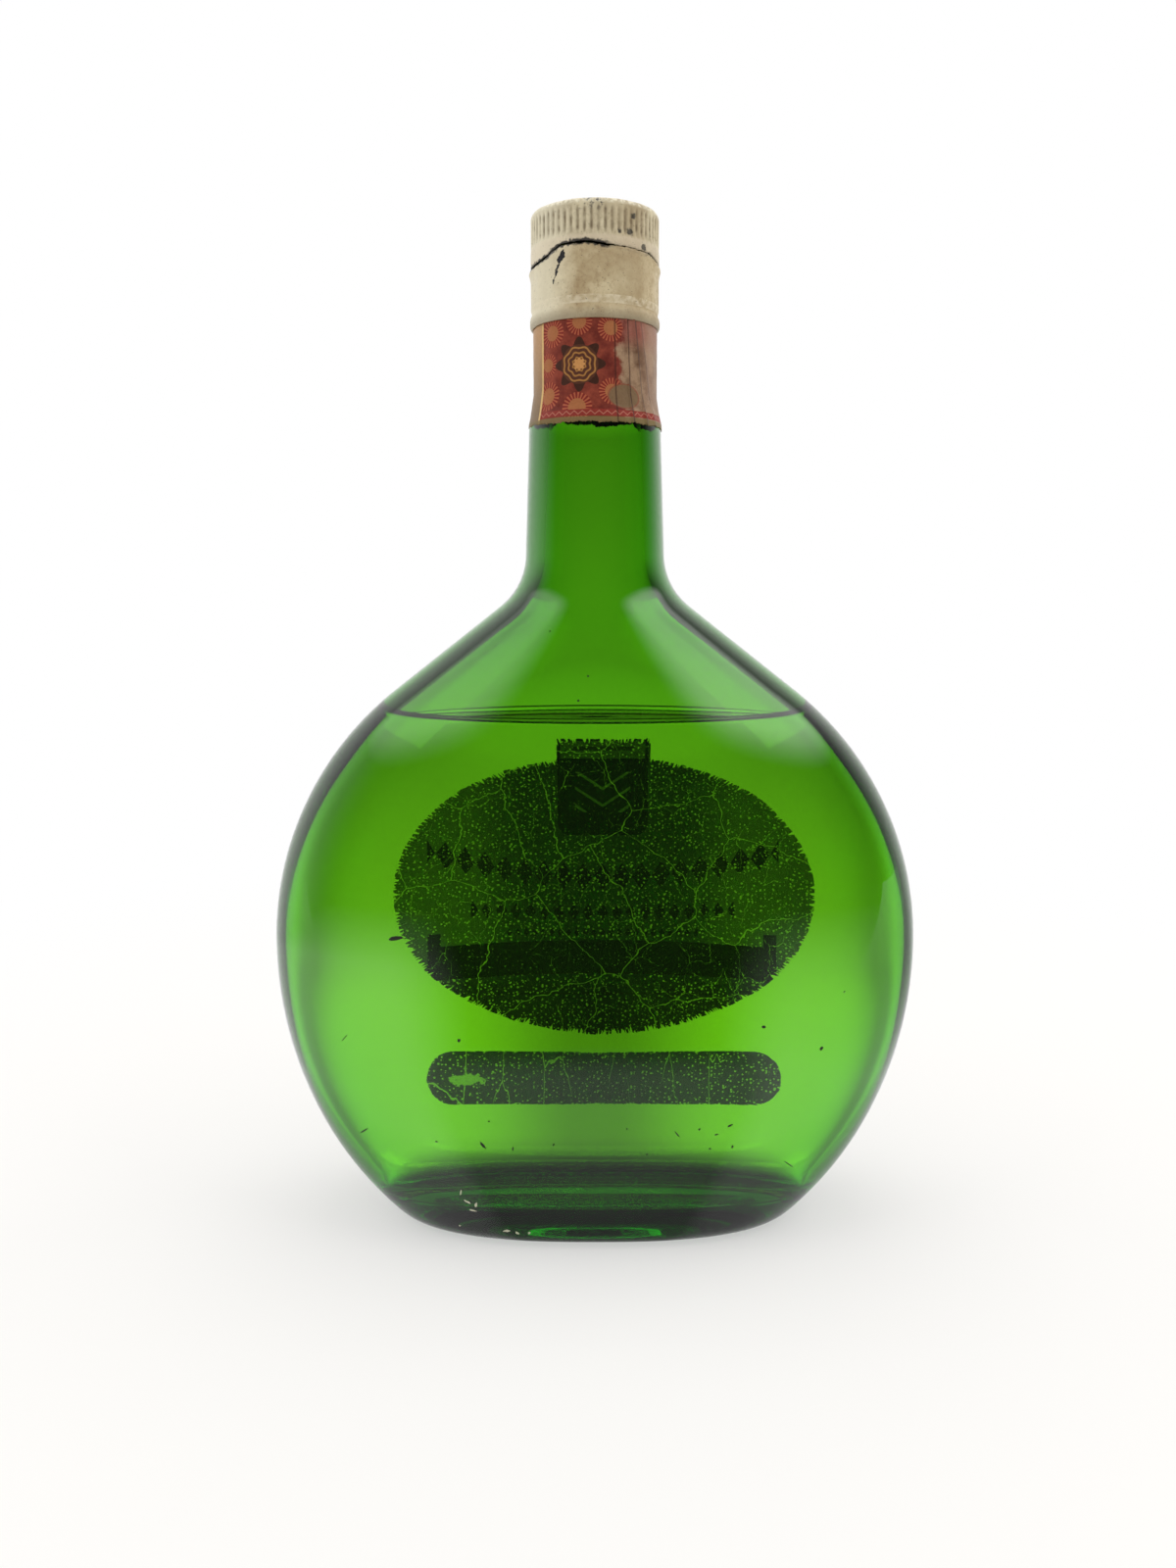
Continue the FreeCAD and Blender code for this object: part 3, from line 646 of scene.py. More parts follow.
# The lower edge is torn away a little on the far side.
ragged = ragged + 2.7 * np.clip((np.abs(FROM_BACK) - 95) / 30, 0, 1) ** 1.5
rings = [cap_ring(neck_radius(STRIP_BOTTOM + ragged) - 0.03, STRIP_BOTTOM + ragged)]
for z in np.linspace(STRIP_BOTTOM, SKIRT_BOTTOM + 0.1, 56):
    height = z + ragged * max(0.0, 1 - (z - STRIP_BOTTOM) / 9)
    rings.append(cap_ring(neck_radius(height) + folds(arc, height), height))
rings += [cap_ring(neck_radius(z) - 0.03, z) for z in (SKIRT_BOTTOM, 205.0, 199.0)]
inner = STRIP_BOTTOM + ragged + 1.5
rings.append(cap_ring(neck_radius(inner) - 0.03, inner))
strip = skin("neck_strip_paper", rings, loop=True)

# %% [markdown]
# The print is engraved in crimson and ochre ink on cheap coated paper, so it has only a dull
# sheen. It could be one image, but here each ornament is a mask from the distance and the angle
# about its middle, which stays sharp close up.

# %% A small rosette
def rosette(tree, x, y, inner, outer):
    """A disc, the ring round it and the ring's 22 rays, from sockets of the place about its middle."""
    far = add(tree, "VectorMath LENGTH", add(tree, "CombineXYZ", x, y)).outputs["Value"]
    angle = add(tree, "Math ARCTAN2", y, x)
    wave = add(tree, "Math SINE", add(tree, "Math MULTIPLY", angle, 22.0))
    disc = add(tree, "Math LESS_THAN", far, inner)
    ring = add(tree, "Math COMPARE", far, (inner + outer) / 2, (outer - inner) / 2)
    return disc, ring, all_of(tree, ring, add(tree, "MapRange", wave, -0.2, 0.4))


# %% Crimson ground with rosettes
strip_material, tree = material("printed_strip_paper")
arc_s, height_s, point = around_neck(tree, STRIP_RADIUS)
blotch = add(tree, "TexNoise", {"Vector": point, "Scale": 0.22, "Detail": 5.0, "Roughness": 0.65})
ink = paint(tree, "#661d13", (add(tree, "MapRange", blotch, 0.35, 0.65), "#96422e"))
# Each row: arc and height of the middle, then the radii of the disc and of the ring, in mm.
ROSETTES = [(-10.6, 210.6, 1.7, 3.2), (3.6, 211.2, 1.6, 3.0), (-11.8, 196.6, 1.9, 3.3),
            (-4.0, 193.6, 2.0, 3.4), (3.9, 197.2, 1.6, 3.0), (-12.0, 203.6, 1.5, 2.7),
            (-3.6, 212.6, 1.6, 3.0)]
for x0, z0, inner, outer in ROSETTES:
    x = add(tree, "Math SUBTRACT", arc_s, x0)
    y = add(tree, "Math SUBTRACT", height_s, z0)
    disc, ring, spokes = rosette(tree, x, y, inner, outer)
    ink = paint(tree, ink,
                (add(tree, "Math MULTIPLY", ring, 0.9), "#7c2118"),
                (spokes, "#b05a3c"),
                (disc, "#a8683e"))
print(len(ROSETTES), "rosettes")

# %% The large medallion: dark petals, a brown disc and ochre lace
x = add(tree, "Math SUBTRACT", arc_s, -3.6)
y = add(tree, "Math SUBTRACT", height_s, 203.2)
far = add(tree, "VectorMath LENGTH", add(tree, "CombineXYZ", x, y)).outputs["Value"]
petal = add(tree, "Math COSINE", add(tree, "Math MULTIPLY", add(tree, "Math ARCTAN2", y, x), 8.0))
disc = add(tree, "Math LESS_THAN", far, 4.4)
circles = add(tree, "Math SINE", add(tree, "Math MULTIPLY_ADD", far, 5.5, petal))
ink = paint(tree, ink,
            (add(tree, "Math LESS_THAN", far, add(tree, "Math MULTIPLY_ADD", petal, 0.9, 5.2)), "#452416"),
            (disc, "#5a3220"),
            (all_of(tree, disc, add(tree, "MapRange", circles, 0.2, 0.7)), "#a8743a"),
            (add(tree, "Math LESS_THAN", far, add(tree, "Math MULTIPLY_ADD", petal, 0.2, 1.3)), "#c98f52"))

# %% The buckled side, which has lost most of its ink, and a bare oval on it
side_s = add(tree, "Math ADD", arc_s, add(tree, "Math MULTIPLY_ADD", height_s, 0.1, -20.2))
side_s = add(tree, "Math ADD", side_s, add(tree, "MapRange", blotch, 0.3, 0.7, -2.5, 2.5))
bare = all_of(tree, add(tree, "MapRange", side_s, 5.6, 7.2),
              add(tree, "MapRange", side_s, 22.0, 27.0, 1.0, 0.0))
crumpled = paint(tree, "#6e4e38",
                 (add(tree, "MapRange", blotch, 0.4, 0.6), "#a38568"),
                 (add(tree, "MapRange", height_s, 206.5, 210.0, 0.0, 0.85), "#965548"),
                 (add(tree, "MapRange", arc_s, 11.0, 14.5, 0.0, 0.6), "#a88a72"))
place = add(tree, "VectorMath SUBTRACT", add(tree, "CombineXYZ", arc_s, height_s), (6.9, 196.2, 0))
place = add(tree, "VectorMath MULTIPLY", place, (0.25, 0.36, 1))
oval = add(tree, "VectorMath LENGTH", place).outputs["Value"]
ink = paint(tree, ink,
            (bare, crumpled),
            (add(tree, "MapRange", oval, 1.06, 1.0, 0.0, 0.8), "#8a4a35"),
            (add(tree, "MapRange", oval, 0.97, 0.9, 0.0, 0.85), "#786446"))

# %% The strip's other end, under the seam, bare and yellowed by glue
worn_end = add(tree, "Math ADD", arc_s, add(tree, "MapRange", blotch, 0.3, 0.7, -3.0, 3.0))
under = all_of(tree, add(tree, "MapRange", arc_s, SEAM, SEAM - 0.15),
               add(tree, "MapRange", worn_end, -26.5, -23.0))
old = paint(tree, "#80694c",
            (add(tree, "MapRange", height_s, 193.0, 212.0), "#bb9063"),
            (add(tree, "Math COMPARE", arc_s, -14.1, 0.45), "#dcb777"))
ink = paint(tree, ink, (under, old))

# %% Border, a crimson band with a pale zigzag over a bare margin, then painted shade in the creases beside the folds
band = all_of(tree, add(tree, "Math COMPARE", height_s, 192.35, 0.75), add(tree, "Math SUBTRACT", 1.0, under))
zigzag = add(tree, "Math MULTIPLY_ADD", add(tree, "Math PINGPONG", arc_s, 0.9), 0.9, 191.95)
zigzag = add(tree, "Math COMPARE", height_s, zigzag, 0.13)
ink = paint(tree, ink,
            (band, "#8c2f24"),
            (add(tree, "Math MULTIPLY", all_of(tree, zigzag, band), 0.55), "#c98a72"),
            (add(tree, "MapRange", height_s, 191.55, 191.35, 0.0, 0.9), "#7d6c42"))
# Each row: arc of the fold 202 mm up, lean, half the width, and darkness. The dark line beside it is painted
# shade in the crease.
for middle, lean, wide, dark in ((4.4, 0.02, 0.3, 0.7), (7.9, 0.05, 0.4, 0.9), (10.9, 0.13, 0.5, 0.9),
                                 (13.5, 0.2, 0.3, 0.5)):
    line = add(tree, "Math MULTIPLY_ADD", height_s, lean, -202.0 * lean - middle - 0.35)
    away = add(tree, "Math ABSOLUTE", add(tree, "Math ADD", arc_s, line))
    # Painted shade: a dark line in the crease beside each fold.
    ink = paint(tree, ink, (add(tree, "MapRange", away, wide, 0.05, 0.0, dark), "#3a1c10"))

# %% Coated paper under the ink
fibre = add(tree, "TexNoise", {"Vector": point, "Scale": 2.2, "Detail": 6.0, "Roughness": 0.7})
grime = add(tree, "MapRange", fibre, 0.3, 0.7, 0.35, 1.0)
ink = add(tree, "Mix", 0.35, {6: ink, 7: grime}, data_type="RGBA", blend_type="MULTIPLY").outputs[2]
rough_paper = add(tree, "Bump", {"Strength": 0.4, "Distance": 0.00015, "Height": fibre})
surface = add(tree, "BsdfPrincipled", {"Base Color": ink, "Roughness": 0.5, "IOR": 1.45,
                                       "Specular IOR Level": 0.3, "Normal": rough_paper})
add(tree, "OutputMaterial", {"Surface": surface})
strip.data.materials.append(strip_material)
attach(strip, "root")
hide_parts("neck_strip")

# %% [markdown]
# ## The labels
# Two thin paper labels are glued to the far side: an oval with a shield standing up in its
# middle, and a long one with round ends. Each is a closed sheet that follows the glass. Its
# inner face lies 0.05 mm in the wall, because glue has no air in it: without that contact the
# back of the paper would mirror instead of showing its own dull colour. The frayed edge is
# in the outline; an outline with a thousand points keeps its small nicks.

# %% Paper on the glass
LABEL_SHIFT, LABEL_CENTRE, LABEL_WIDTH, LABEL_HEIGHT = 2.0, 72.8, 98.0, 68.0
SHIELD_WIDTH, SHIELD_RISE = 22.0, 5.0
LOWER_CENTRE, LOWER_WIDTH, LOWER_HEIGHT = 28.4, 83.5, 12.2
GLUED_IN, PAPER_FACE = -0.05, 0.17


def glass_depth(x, z):
    """Y of the labelled side of the glass at x and z, in millimetres."""
    a, b, power = OUTSIDE[0].half_at(z), OUTSIDE[1].half_at(z), squareness(z)
    return b * max(0.0, 1 - abs(x / a) ** power) ** (1 / power)


def fray(count, seed, nick):
    """How far the edge is worn back round an outline: low waves and short narrow nicks."""
    rng = np.random.default_rng(seed)
    turn = 2 * np.pi * np.arange(count) / count
    worn = 0.25 + wobble(turn, seed, (5, 11, 23, 47, 90), 0.16) + rng.uniform(0, 0.16, count)
    for at in rng.choice(count, int(count * nick), replace=False):
        worn[at] += rng.uniform(0.4, 1.5)
    return np.maximum(worn, 0.02)


def paper_sheet(name, outline, centre, rings=22):
    """Closed sheet from an outline about a centre: inner face, rim and outer face."""
    def face(lift, shares):
        made = []
        for share in shares:
            flat = outline * share + centre
            made.append([(x, glass_depth(x, z) + lift, z) for x, z in flat])
        return made

    shares = [(k + 1) / rings for k in range(rings)]
    stack = face(GLUED_IN, shares) + face(PAPER_FACE, shares[::-1])
    poles = [(centre[0] * MM, (glass_depth(*centre) + lift) * MM, centre[1] * MM)
             for lift in (GLUED_IN, PAPER_FACE)]
    piece = skin(name, np.array(stack) * MM, *poles)
    piece.data.flip_normals()
    return piece


# %% The two outlines
def star_outline(reach, count, seed, nick):
    """Outline points from a reach over the angle, frayed."""
    turn = 2 * np.pi * np.arange(count) / count
    worn = fray(count, seed, nick)
    points = []
    for angle, wear in zip(turn, worn):
        c, s = math.cos(angle), math.sin(angle)
        far = reach(c, s)
        points.append(((far - wear) * c, (far - wear) * s))
    return np.array(points)


def oval_with_shield(c, s):
    a, b = LABEL_WIDTH / 2 + 0.3, LABEL_HEIGHT / 2 + 0.3
    far = 1 / math.hypot(c / a, s / b)
    if s > 0:
        far = max(far, min(SHIELD_WIDTH / 2 / max(abs(c), 1e-6), (LABEL_HEIGHT / 2 + SHIELD_RISE) / s))
    return far


def pill(c, s):
    radius = LOWER_HEIGHT / 2 + 0.2
    straight = LOWER_WIDTH / 2 + 0.2 - radius
    if abs(c) * radius <= abs(s) * straight:
        return radius / abs(s)
    along = straight * abs(c)
    return along + math.sqrt(along * along + radius * radius - straight * straight)


front_label = paper_sheet("front_label_paper", star_outline(oval_with_shield, 1100, 31, 0.3),
                          np.array([LABEL_SHIFT, LABEL_CENTRE]))
lower_label = paper_sheet("lower_label_paper", star_outline(pill, 1400, 47, 0.05),
                          np.array([LABEL_SHIFT, LOWER_CENTRE]), 12)

# %% [markdown]
# One set of masks serves both faces, so that a crack or a pinhole goes right through. The glue
# has dried: the paper is cracked and pinholed, and it is a little sheer where no dark ink lies
# on it. All of that is the paper's alpha, because holes this small would take too many faces.
# The cracks are the edges of large warped cells, thinned out by noise, and the pinholes are
# the middles of cells about 1 mm apart.

# %% Cracks and pinholes
def label_place(tree):
    """Sockets of x and z in millimetres, and the flat point."""
    point = add(tree, "VectorMath SCALE", add(tree, "TexCoord").outputs["Object"], {"Scale": 1000.0})
    split = add(tree, "SeparateXYZ", point)
    flat = add(tree, "CombineXYZ", split.outputs["X"], split.outputs["Z"])
    return split.outputs["X"], split.outputs["Z"], flat


def cracks(tree, flat, cell, width, keep, bend):
    """1 on warped cell edges: cell and width in millimetres, keep is the share that shows."""
    warp = add(tree, "TexNoise",
               {"Vector": flat, "Scale": 0.9 / cell, "Detail": 4.0, "Roughness": 0.6}).outputs["Color"]
    moved = add(tree, "VectorMath MULTIPLY_ADD", warp, (bend, bend, 0), flat)
    cells = add(tree, "TexVoronoi", {"Vector": moved, "Scale": 1 / cell}, feature="DISTANCE_TO_EDGE",
                voronoi_dimensions="2D")
    shown = add(tree, "TexNoise", {"Vector": flat, "Scale": 0.55 / cell, "Detail": 2.0})
    wide = add(tree, "MapRange", shown, 0.62 - 0.3 * keep, 0.72 - 0.3 * keep, 0.0, width / cell)
    return add(tree, "Math LESS_THAN", cells.outputs["Distance"], wide)


def pinholes(tree, flat, spacing, smallest, largest, patch):
    """1 in small irregular holes; sizes are radii in millimetres, patch the noise that varies them."""
    cells = add(tree, "TexVoronoi", {"Vector": flat, "Scale": 1 / spacing}, voronoi_dimensions="2D")
    size_here = add(tree, "MapRange", patch, 0.1, 0.56, smallest / spacing, largest / spacing)
    pick = add(tree, "SeparateColor", cells.outputs["Color"])
    size_here = add(tree, "Math MULTIPLY", size_here, pick.outputs[0])
    return add(tree, "Math LESS_THAN", cells.outputs["Distance"], size_here)


# %% The oval label's design
ARMS = LABEL_SHIFT - 0.2  # the middle of the shield


def rounded_shield(tree, aside, z):
    """The shield: straight sides and two lower corners of 3 mm radius."""
    off_x = add(tree, "Math MAXIMUM", add(tree, "Math SUBTRACT", aside, 7.6), 0.0)
    off_z = add(tree, "Math MAXIMUM", add(tree, "Math SUBTRACT", 89.2, z), 0.0)
    corner = add(tree, "Math ADD", add(tree, "Math POWER", off_x, 2.0), add(tree, "Math POWER", off_z, 2.0))
    return add(tree, "Math LESS_THAN", corner, 9.0)


def chevrons(tree, aside, x, z):
    """Lines 4.6 mm apart that slope down to the middle, within a rectangle of the shield."""
    peak = add(tree, "Math MULTIPLY_ADD", aside, 0.75, 93.4)
    beat = add(tree, "Math PINGPONG", add(tree, "Math SUBTRACT", z, peak), 2.3)
    return all_of(tree, add(tree, "Math LESS_THAN", beat, 0.42), boxed(tree, x, ARMS, 6.5, z, 97.2, 5.4))


def ribbon(tree, x, z):
    """A long banner that sags at its ends, which curl over and so step out a little."""
    across = add(tree, "Math SUBTRACT", x, 1.6)
    sag = add(tree, "Math MULTIPLY_ADD", add(tree, "Math POWER", across, 2.0), -0.0006, 57.2)
    flat_part = boxed(tree, across, 0.0, 40.3, add(tree, "Math SUBTRACT", z, sag), 0.0, 3.9)
    curl = boxed(tree, add(tree, "Math ABSOLUTE", across), 39.3, 1.5, z, 57.6, 5.6)
    return any_of(tree, flat_part, curl)


def lozenges(tree, inside, aside, z, bow, base, step, tall, reach):
    """A row of lozenges on a shallow curve."""
    curve = add(tree, "Math MULTIPLY_ADD", add(tree, "Math POWER", inside, 2.0), bow, base)
    up = add(tree, "Math ABSOLUTE", add(tree, "Math SUBTRACT", z, curve))
    side = add(tree, "Math MULTIPLY", add(tree, "Math PINGPONG", inside, step), 1.5)
    spot = add(tree, "Math LESS_THAN", add(tree, "Math ADD", up, side), tall)
    return all_of(tree, spot, add(tree, "Math LESS_THAN", aside, reach))


def beaded_rule(tree, inside, aside, x, z):
    """A thin line with a bead every 16 mm."""
    off = add(tree, "Math ABSOLUTE", add(tree, "Math SUBTRACT", z, 48.6))
    beads = add(tree, "Math ADD", add(tree, "Math PINGPONG", inside, 8.0), off)
    beads = all_of(tree, add(tree, "Math LESS_THAN", beads, 1.5), add(tree, "Math LESS_THAN", aside, 26.0))
    return any_of(tree, boxed(tree, x, LABEL_SHIFT, 27.0, z, 48.6, 0.22), beads)


def design(tree, x, z):
    """Masks of the shield, its band, beam and chevrons, the banner, the rows and the rule."""
    inside = add(tree, "Math SUBTRACT", x, ARMS)
    aside = add(tree, "Math ABSOLUTE", inside)
    # Each row: bow, height, half the spacing, size, and how far it goes to each side.
    rows = [lozenges(tree, inside, aside, z, *row) for row in (
        (0.0042, 76.0, 2.3, 3.3, 41.0), (0.0012, 67.6, 1.7, 2.0, 31.0), (0.0004, 62.9, 1.0, 1.0, 23.0))]
    return dict(shield=rounded_shield(tree, aside, z), band=boxed(tree, x, ARMS, 9.9, z, 108.6, 2.4),
                beam=boxed(tree, x, ARMS, 7.4, z, 108.9, 0.55), chevron=chevrons(tree, aside, x, z),
                banner=ribbon(tree, x, z), rows=any_of(tree, *rows),
                rule=beaded_rule(tree, inside, aside, x, z))


# %% Where the oval paper lets light through
def oval_alpha(tree, x, z, flat, middle, parts):
    """Alpha of both faces: dark ink keeps nearly all light back, bare paper and gilt less, cracks least."""
    solid_ink = add(tree, "Math SUBTRACT", parts["shield"], parts["band"])
    solid_ink = add(tree, "Math MAXIMUM", solid_ink, parts["banner"], use_clamp=True)
    thin = add(tree, "Math MULTIPLY_ADD", solid_ink, -0.3, middle)
    holes = any_of(tree, cracks(tree, flat, 19.0, 0.1, 1.0, 12.0), cracks(tree, flat, 6.0, 0.05, 0.55, 5.0),
                   pinholes(tree, flat, 0.95, 0.1, 0.25, thin), pinholes(tree, flat, 1.5, 0.0, 0.32, thin))
    wing = add(tree, "Math ABSOLUTE", add(tree, "Math SUBTRACT", x, LABEL_SHIFT))
    wing = add(tree, "MapRange", wing, 18.0, 32.0, interpolation_type="SMOOTHSTEP")
    low = add(tree, "MapRange", z, 60.0, 50.0)
    inked = any_of(tree, solid_ink, parts["rows"], parts["rule"])
    band = add(tree, "Math SUBTRACT", parts["band"], parts["beam"], use_clamp=True)
    sheer = add(tree, "Mix", wing, {2: 0.14, 3: 0.3})
    for share, here in ((low, 0.1), (inked, 0.02), (parts["chevron"], 0.32), (band, 0.24), (holes, 0.74)):
        sheer = add(tree, "Mix", share, {2: sheer, 3: here})
    return wing, low, add(tree, "Math SUBTRACT", 1.0, sheer)


# %% [markdown]
# The front is offset print on coated paper: cream, bottle green and a dull gold ink, with a
# slight sheen. The back is the bare fibre soaked with old glue. It sits in optical contact with
# the glass, so it has no shine of its own and its specular level is 0.

# %% The oval label's printed front
def oval_front_colour(tree, x, z, middle, parts):
    far_x = add(tree, "Math DIVIDE", add(tree, "Math SUBTRACT", x, ARMS), LABEL_WIDTH / 2)
    far_z = add(tree, "Math DIVIDE", add(tree, "Math SUBTRACT", z, LABEL_CENTRE), LABEL_HEIGHT / 2)
    far = add(tree, "VectorMath LENGTH", add(tree, "CombineXYZ", far_x, far_z)).outputs["Value"]
    return paint(tree, "#e4d7b0",
                 (add(tree, "MapRange", middle, 0.3, 0.7), "#cdb988"),
                 (add(tree, "Math COMPARE", far, 0.945, 0.03), "#23502c"),
                 (add(tree, "Math COMPARE", far, 0.895, 0.006), "#a57f32"),
                 (parts["rows"], "#2c4a2a"),
                 (parts["rule"], "#a57f32"),
                 (parts["shield"], "#1f4a2b"),
                 (parts["band"], "#b8903f"),
                 (parts["beam"], "#1f4a2b"),
                 (parts["chevron"], "#d9bd6c"),
                 (parts["banner"], "#3a2419"))


# %% The oval label's bare back
def oval_back_colour(tree, flat, wing, low, parts):
    """Paper stained green through the glass, browner at the wings, with the ink showing through."""
    patch = add(tree, "TexNoise", {"Vector": flat, "Scale": 0.045, "Detail": 3.0})
    brown = all_of(tree, add(tree, "MapRange", patch, 0.35, 0.55),
                   add(tree, "Math MULTIPLY_ADD", wing, 0.75, 0.25))
    return paint(tree, "#409068",
                 (brown, "#dccf98"),
                 (add(tree, "Math MULTIPLY", low, 0.85), "#3c4430"),
                 (parts["rows"], "#24442e"),
                 (parts["rule"], "#4a4a30"),
                 (parts["shield"], "#125a40"),
                 (parts["band"], "#74a06c"),
                 (parts["beam"], "#2c5a3c"),
                 (parts["chevron"], "#a8d0a0"),
                 (parts["banner"], "#6e5034"))


# %% The oval label's two materials
def oval_label(name, printed):
    made, tree = material(name)
    x, z, flat = label_place(tree)
    parts = design(tree, x, z)
    middle = add(tree, "TexNoise", {"Vector": flat, "Scale": 0.35, "Detail": 4.0})
    wing, low, alpha = oval_alpha(tree, x, z, flat, middle, parts)
    if printed:
        colour, rough, shine = oval_front_colour(tree, x, z, middle, parts), 0.5, 0.5
    else:
        colour, rough, shine = oval_back_colour(tree, flat, wing, low, parts), 0.75, 0.0
    grain = add(tree, "TexNoise", {"Vector": flat, "Scale": 3.0, "Detail": 4.0})
    relief = add(tree, "Bump", {"Strength": 0.25, "Distance": 0.0001, "Height": grain})
    surface = add(tree, "BsdfPrincipled", {"Base Color": colour, "Roughness": rough, "Alpha": alpha,
                                           "Specular IOR Level": shine, "Normal": relief})
    add(tree, "OutputMaterial", {"Surface": surface})
    return made


# %% The long label's two materials
def long_alpha(tree, flat, middle):
    """Alpha of both faces: upright cracks, pinholes and one piece broken out near the left end."""
    upright = add(tree, "VectorMath MULTIPLY", flat, (1.0, 0.28, 1.0))
    gone = add(tree, "VectorMath SUBTRACT", flat, (-30.2, 27.9, 0.0))
    gone = add(tree, "VectorMath LENGTH", add(tree, "VectorMath MULTIPLY", gone, (0.24, 0.75, 0.0)))
    edge = add(tree, "TexNoise", {"Vector": flat, "Scale": 0.55, "Detail": 5.0, "Roughness": 0.65})
    edge = add(tree, "MapRange", edge, 0.3, 0.7, 0.35, 1.5)
    holes = any_of(tree, cracks(tree, upright, 9.5, 0.08, 0.6, 5.0),
                   pinholes(tree, flat, 0.9, 0.1, 0.3, middle),
                   add(tree, "Math LESS_THAN", gone.outputs["Value"], edge))
    return add(tree, "MapRange", holes, {3: 0.84, 4: 0.24})


def long_label(name, printed):
    made, tree = material(name)
    x, z, flat = label_place(tree)
    middle = add(tree, "TexNoise", {"Vector": flat, "Scale": 0.35, "Detail": 4.0})
    age = add(tree, "MapRange", middle, 0.3, 0.7)
    if printed:
        off = add(tree, "Math ABSOLUTE", add(tree, "Math SUBTRACT", z, LOWER_CENTRE))
        lozenge = add(tree, "Math ADD", add(tree, "Math PINGPONG", x, 3.0), off)
        colour = paint(tree, "#2a5a34",
                       (age, "#1f4a2b"),
                       (add(tree, "Math COMPARE", off, 4.3, 0.25), "#cdb988"),
                       (add(tree, "Math LESS_THAN", lozenge, 1.6), "#cdb988"))
    else:
        colour = paint(tree, "#6aa286", (age, "#86ae90"))
    surface = add(tree, "BsdfPrincipled", {"Base Color": colour, "Roughness": 0.6,
                                           "Specular IOR Level": 0.5 if printed else 0.0,
                                           "Alpha": long_alpha(tree, flat, middle)})
    add(tree, "OutputMaterial", {"Surface": surface})
    return made


# %% Dress the labels
def dress(piece, back, front, node_name):
    """Back material on the inner face, front material on the outer face and rim."""
    piece.data.materials.append(back)
    piece.data.materials.append(front)
    for polygon in piece.data.polygons:
        polygon.material_index = 1 if polygon.normal.y > 0 else 0
    print(node_name, sum(p.material_index for p in piece.data.polygons), "printed faces")
    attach(piece, "root")
    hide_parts(node_name)


dress(front_label, oval_label("oval_label_back", False), oval_label("oval_label_print", True), "front_label")
dress(lower_label, long_label("long_label_back", False), long_label("long_label_print", True), "lower_label")

# %% [markdown]
# ## Marks on the glass
# Dried splashes, dust and two small chipped places on the near side, as a customer would find
# them. Each is a thin closed flake on the glass, so that it shows from every side. They are
# separate from the glass because they are another material: a dried splash is matt and dark,
# and a chipped place is matt and pale, because its broken surface scatters the light.

# %% Flakes
CORNERS, FLAKE_LIFT = 9, 0.03
FLAKE_SPREAD = 1.3  # a corner lies at 0.55 to 1 of the reach, so the reach is larger than the mark


def flakes(name, places, seed):
    """Closed flakes on the near side: x, height, length, width and tilt in millimetres and degrees."""
    rng = np.random.default_rng(seed)
    points, faces = [], []
    for x, z, length, width, tilt in places:
        length, width = FLAKE_SPREAD * length, FLAKE_SPREAD * width
        first = len(points)
        turn = 2 * np.pi * np.arange(CORNERS) / CORNERS
        size = rng.uniform(0.55, 1.0, CORNERS)
        c, s = math.cos(math.radians(tilt)), math.sin(math.radians(tilt))
        along, across = size * np.cos(turn) * length / 2, size * np.sin(turn) * width / 2
        for lift in (-FLAKE_LIFT, FLAKE_LIFT):
            for a, b in zip(along, across):
                px, pz = x + a * c - b * s, z + a * s + b * c
                points.append((px * MM, -(glass_depth(px, pz) + lift) * MM, pz * MM))
        faces.append([first + k for k in range(CORNERS)][::-1])
        faces.append([first + CORNERS + k for k in range(CORNERS)])
        for k in range(CORNERS):
            after = (k + 1) % CORNERS
            faces.append([first + k, first + after, first + CORNERS + after, first + CORNERS + k])
    mesh = bpy.data.meshes.new(name)
    mesh.from_pydata(points, [], faces)
    piece = bpy.data.objects.new(name, mesh)
    bpy.context.scene.collection.objects.link(piece)
    print(name, len(places), "flakes")
    return piece


# %% Where the marks are, and their two materials
DUST = [(-44.8, 74.6, 3.6, 1.1, 8), (-53.5, 27.5, 2.2, 0.35, 40), (-25.3, 27.4, 2.2, 0.6, -50),
        (-18.5, 26.8, 1.0, 0.4, 80), (-36.0, 27.5, 0.6, 0.4, 0), (-23.8, 33.5, 0.5, 0.4, 0),
        (18.5, 30.5, 1.9, 0.28, -55), (30.5, 32.0, 1.3, 0.5, 30), (27.5, 30.0, 0.9, 0.3, 15),
        (26.0, 26.5, 0.5, 0.45, 0), (31.2, 26.6, 0.7, 0.45, 60), (23.5, 31.5, 0.6, 0.5, 0),
        (44.5, 20.5, 3.4, 0.25, -42), (51.6, 48.4, 1.0, 0.7, 60), (37.7, 55.0, 1.1, 0.8, -30),
        (-30.3, 52.4, 0.9, 0.6, 70), (57.0, 61.0, 0.6, 0.25, 45), (-57.5, 50.0, 2.4, 0.22, 50),
        (-3.7, 127.7, 0.5, 0.5, 0), (-1.5, 133.1, 0.5, 0.4, 0), (-10.2, 143.1, 0.45, 0.4, 0),
        (11.7, 25.6, 0.5, 0.4, 0), (7.2, 32.1, 0.5, 0.35, 0), (-9.3, 28.1, 0.7, 0.3, 70)]
CHIPS = [(-30.8, 14.6, 1.4, 0.35, 80), (-29.2, 12.0, 1.8, 0.5, -30), (-27.4, 11.4, 1.3, 0.6, 70),
         (-28.2, 9.8, 1.7, 0.4, -10), (-20.5, 4.6, 1.5, 0.6, 10), (-18.0, 4.2, 1.0, 0.6, -20),
         (-15.2, 4.3, 0.8, 0.5, 60), (-31.5, 4.8, 0.5, 0.4, 0)]
for name, places, tone, seed in (("dried_splashes", DUST, "#1d2412", 5), ("pale_chips", CHIPS, "#c9c6b0", 6)):
    piece = flakes(name, places, seed)
    made, tree = material(name)
    surface = add(tree, "BsdfPrincipled", {"Base Color": tone, "Roughness": 0.7})
    add(tree, "OutputMaterial", {"Surface": surface})
    piece.data.materials.append(made)
    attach(piece, "root")

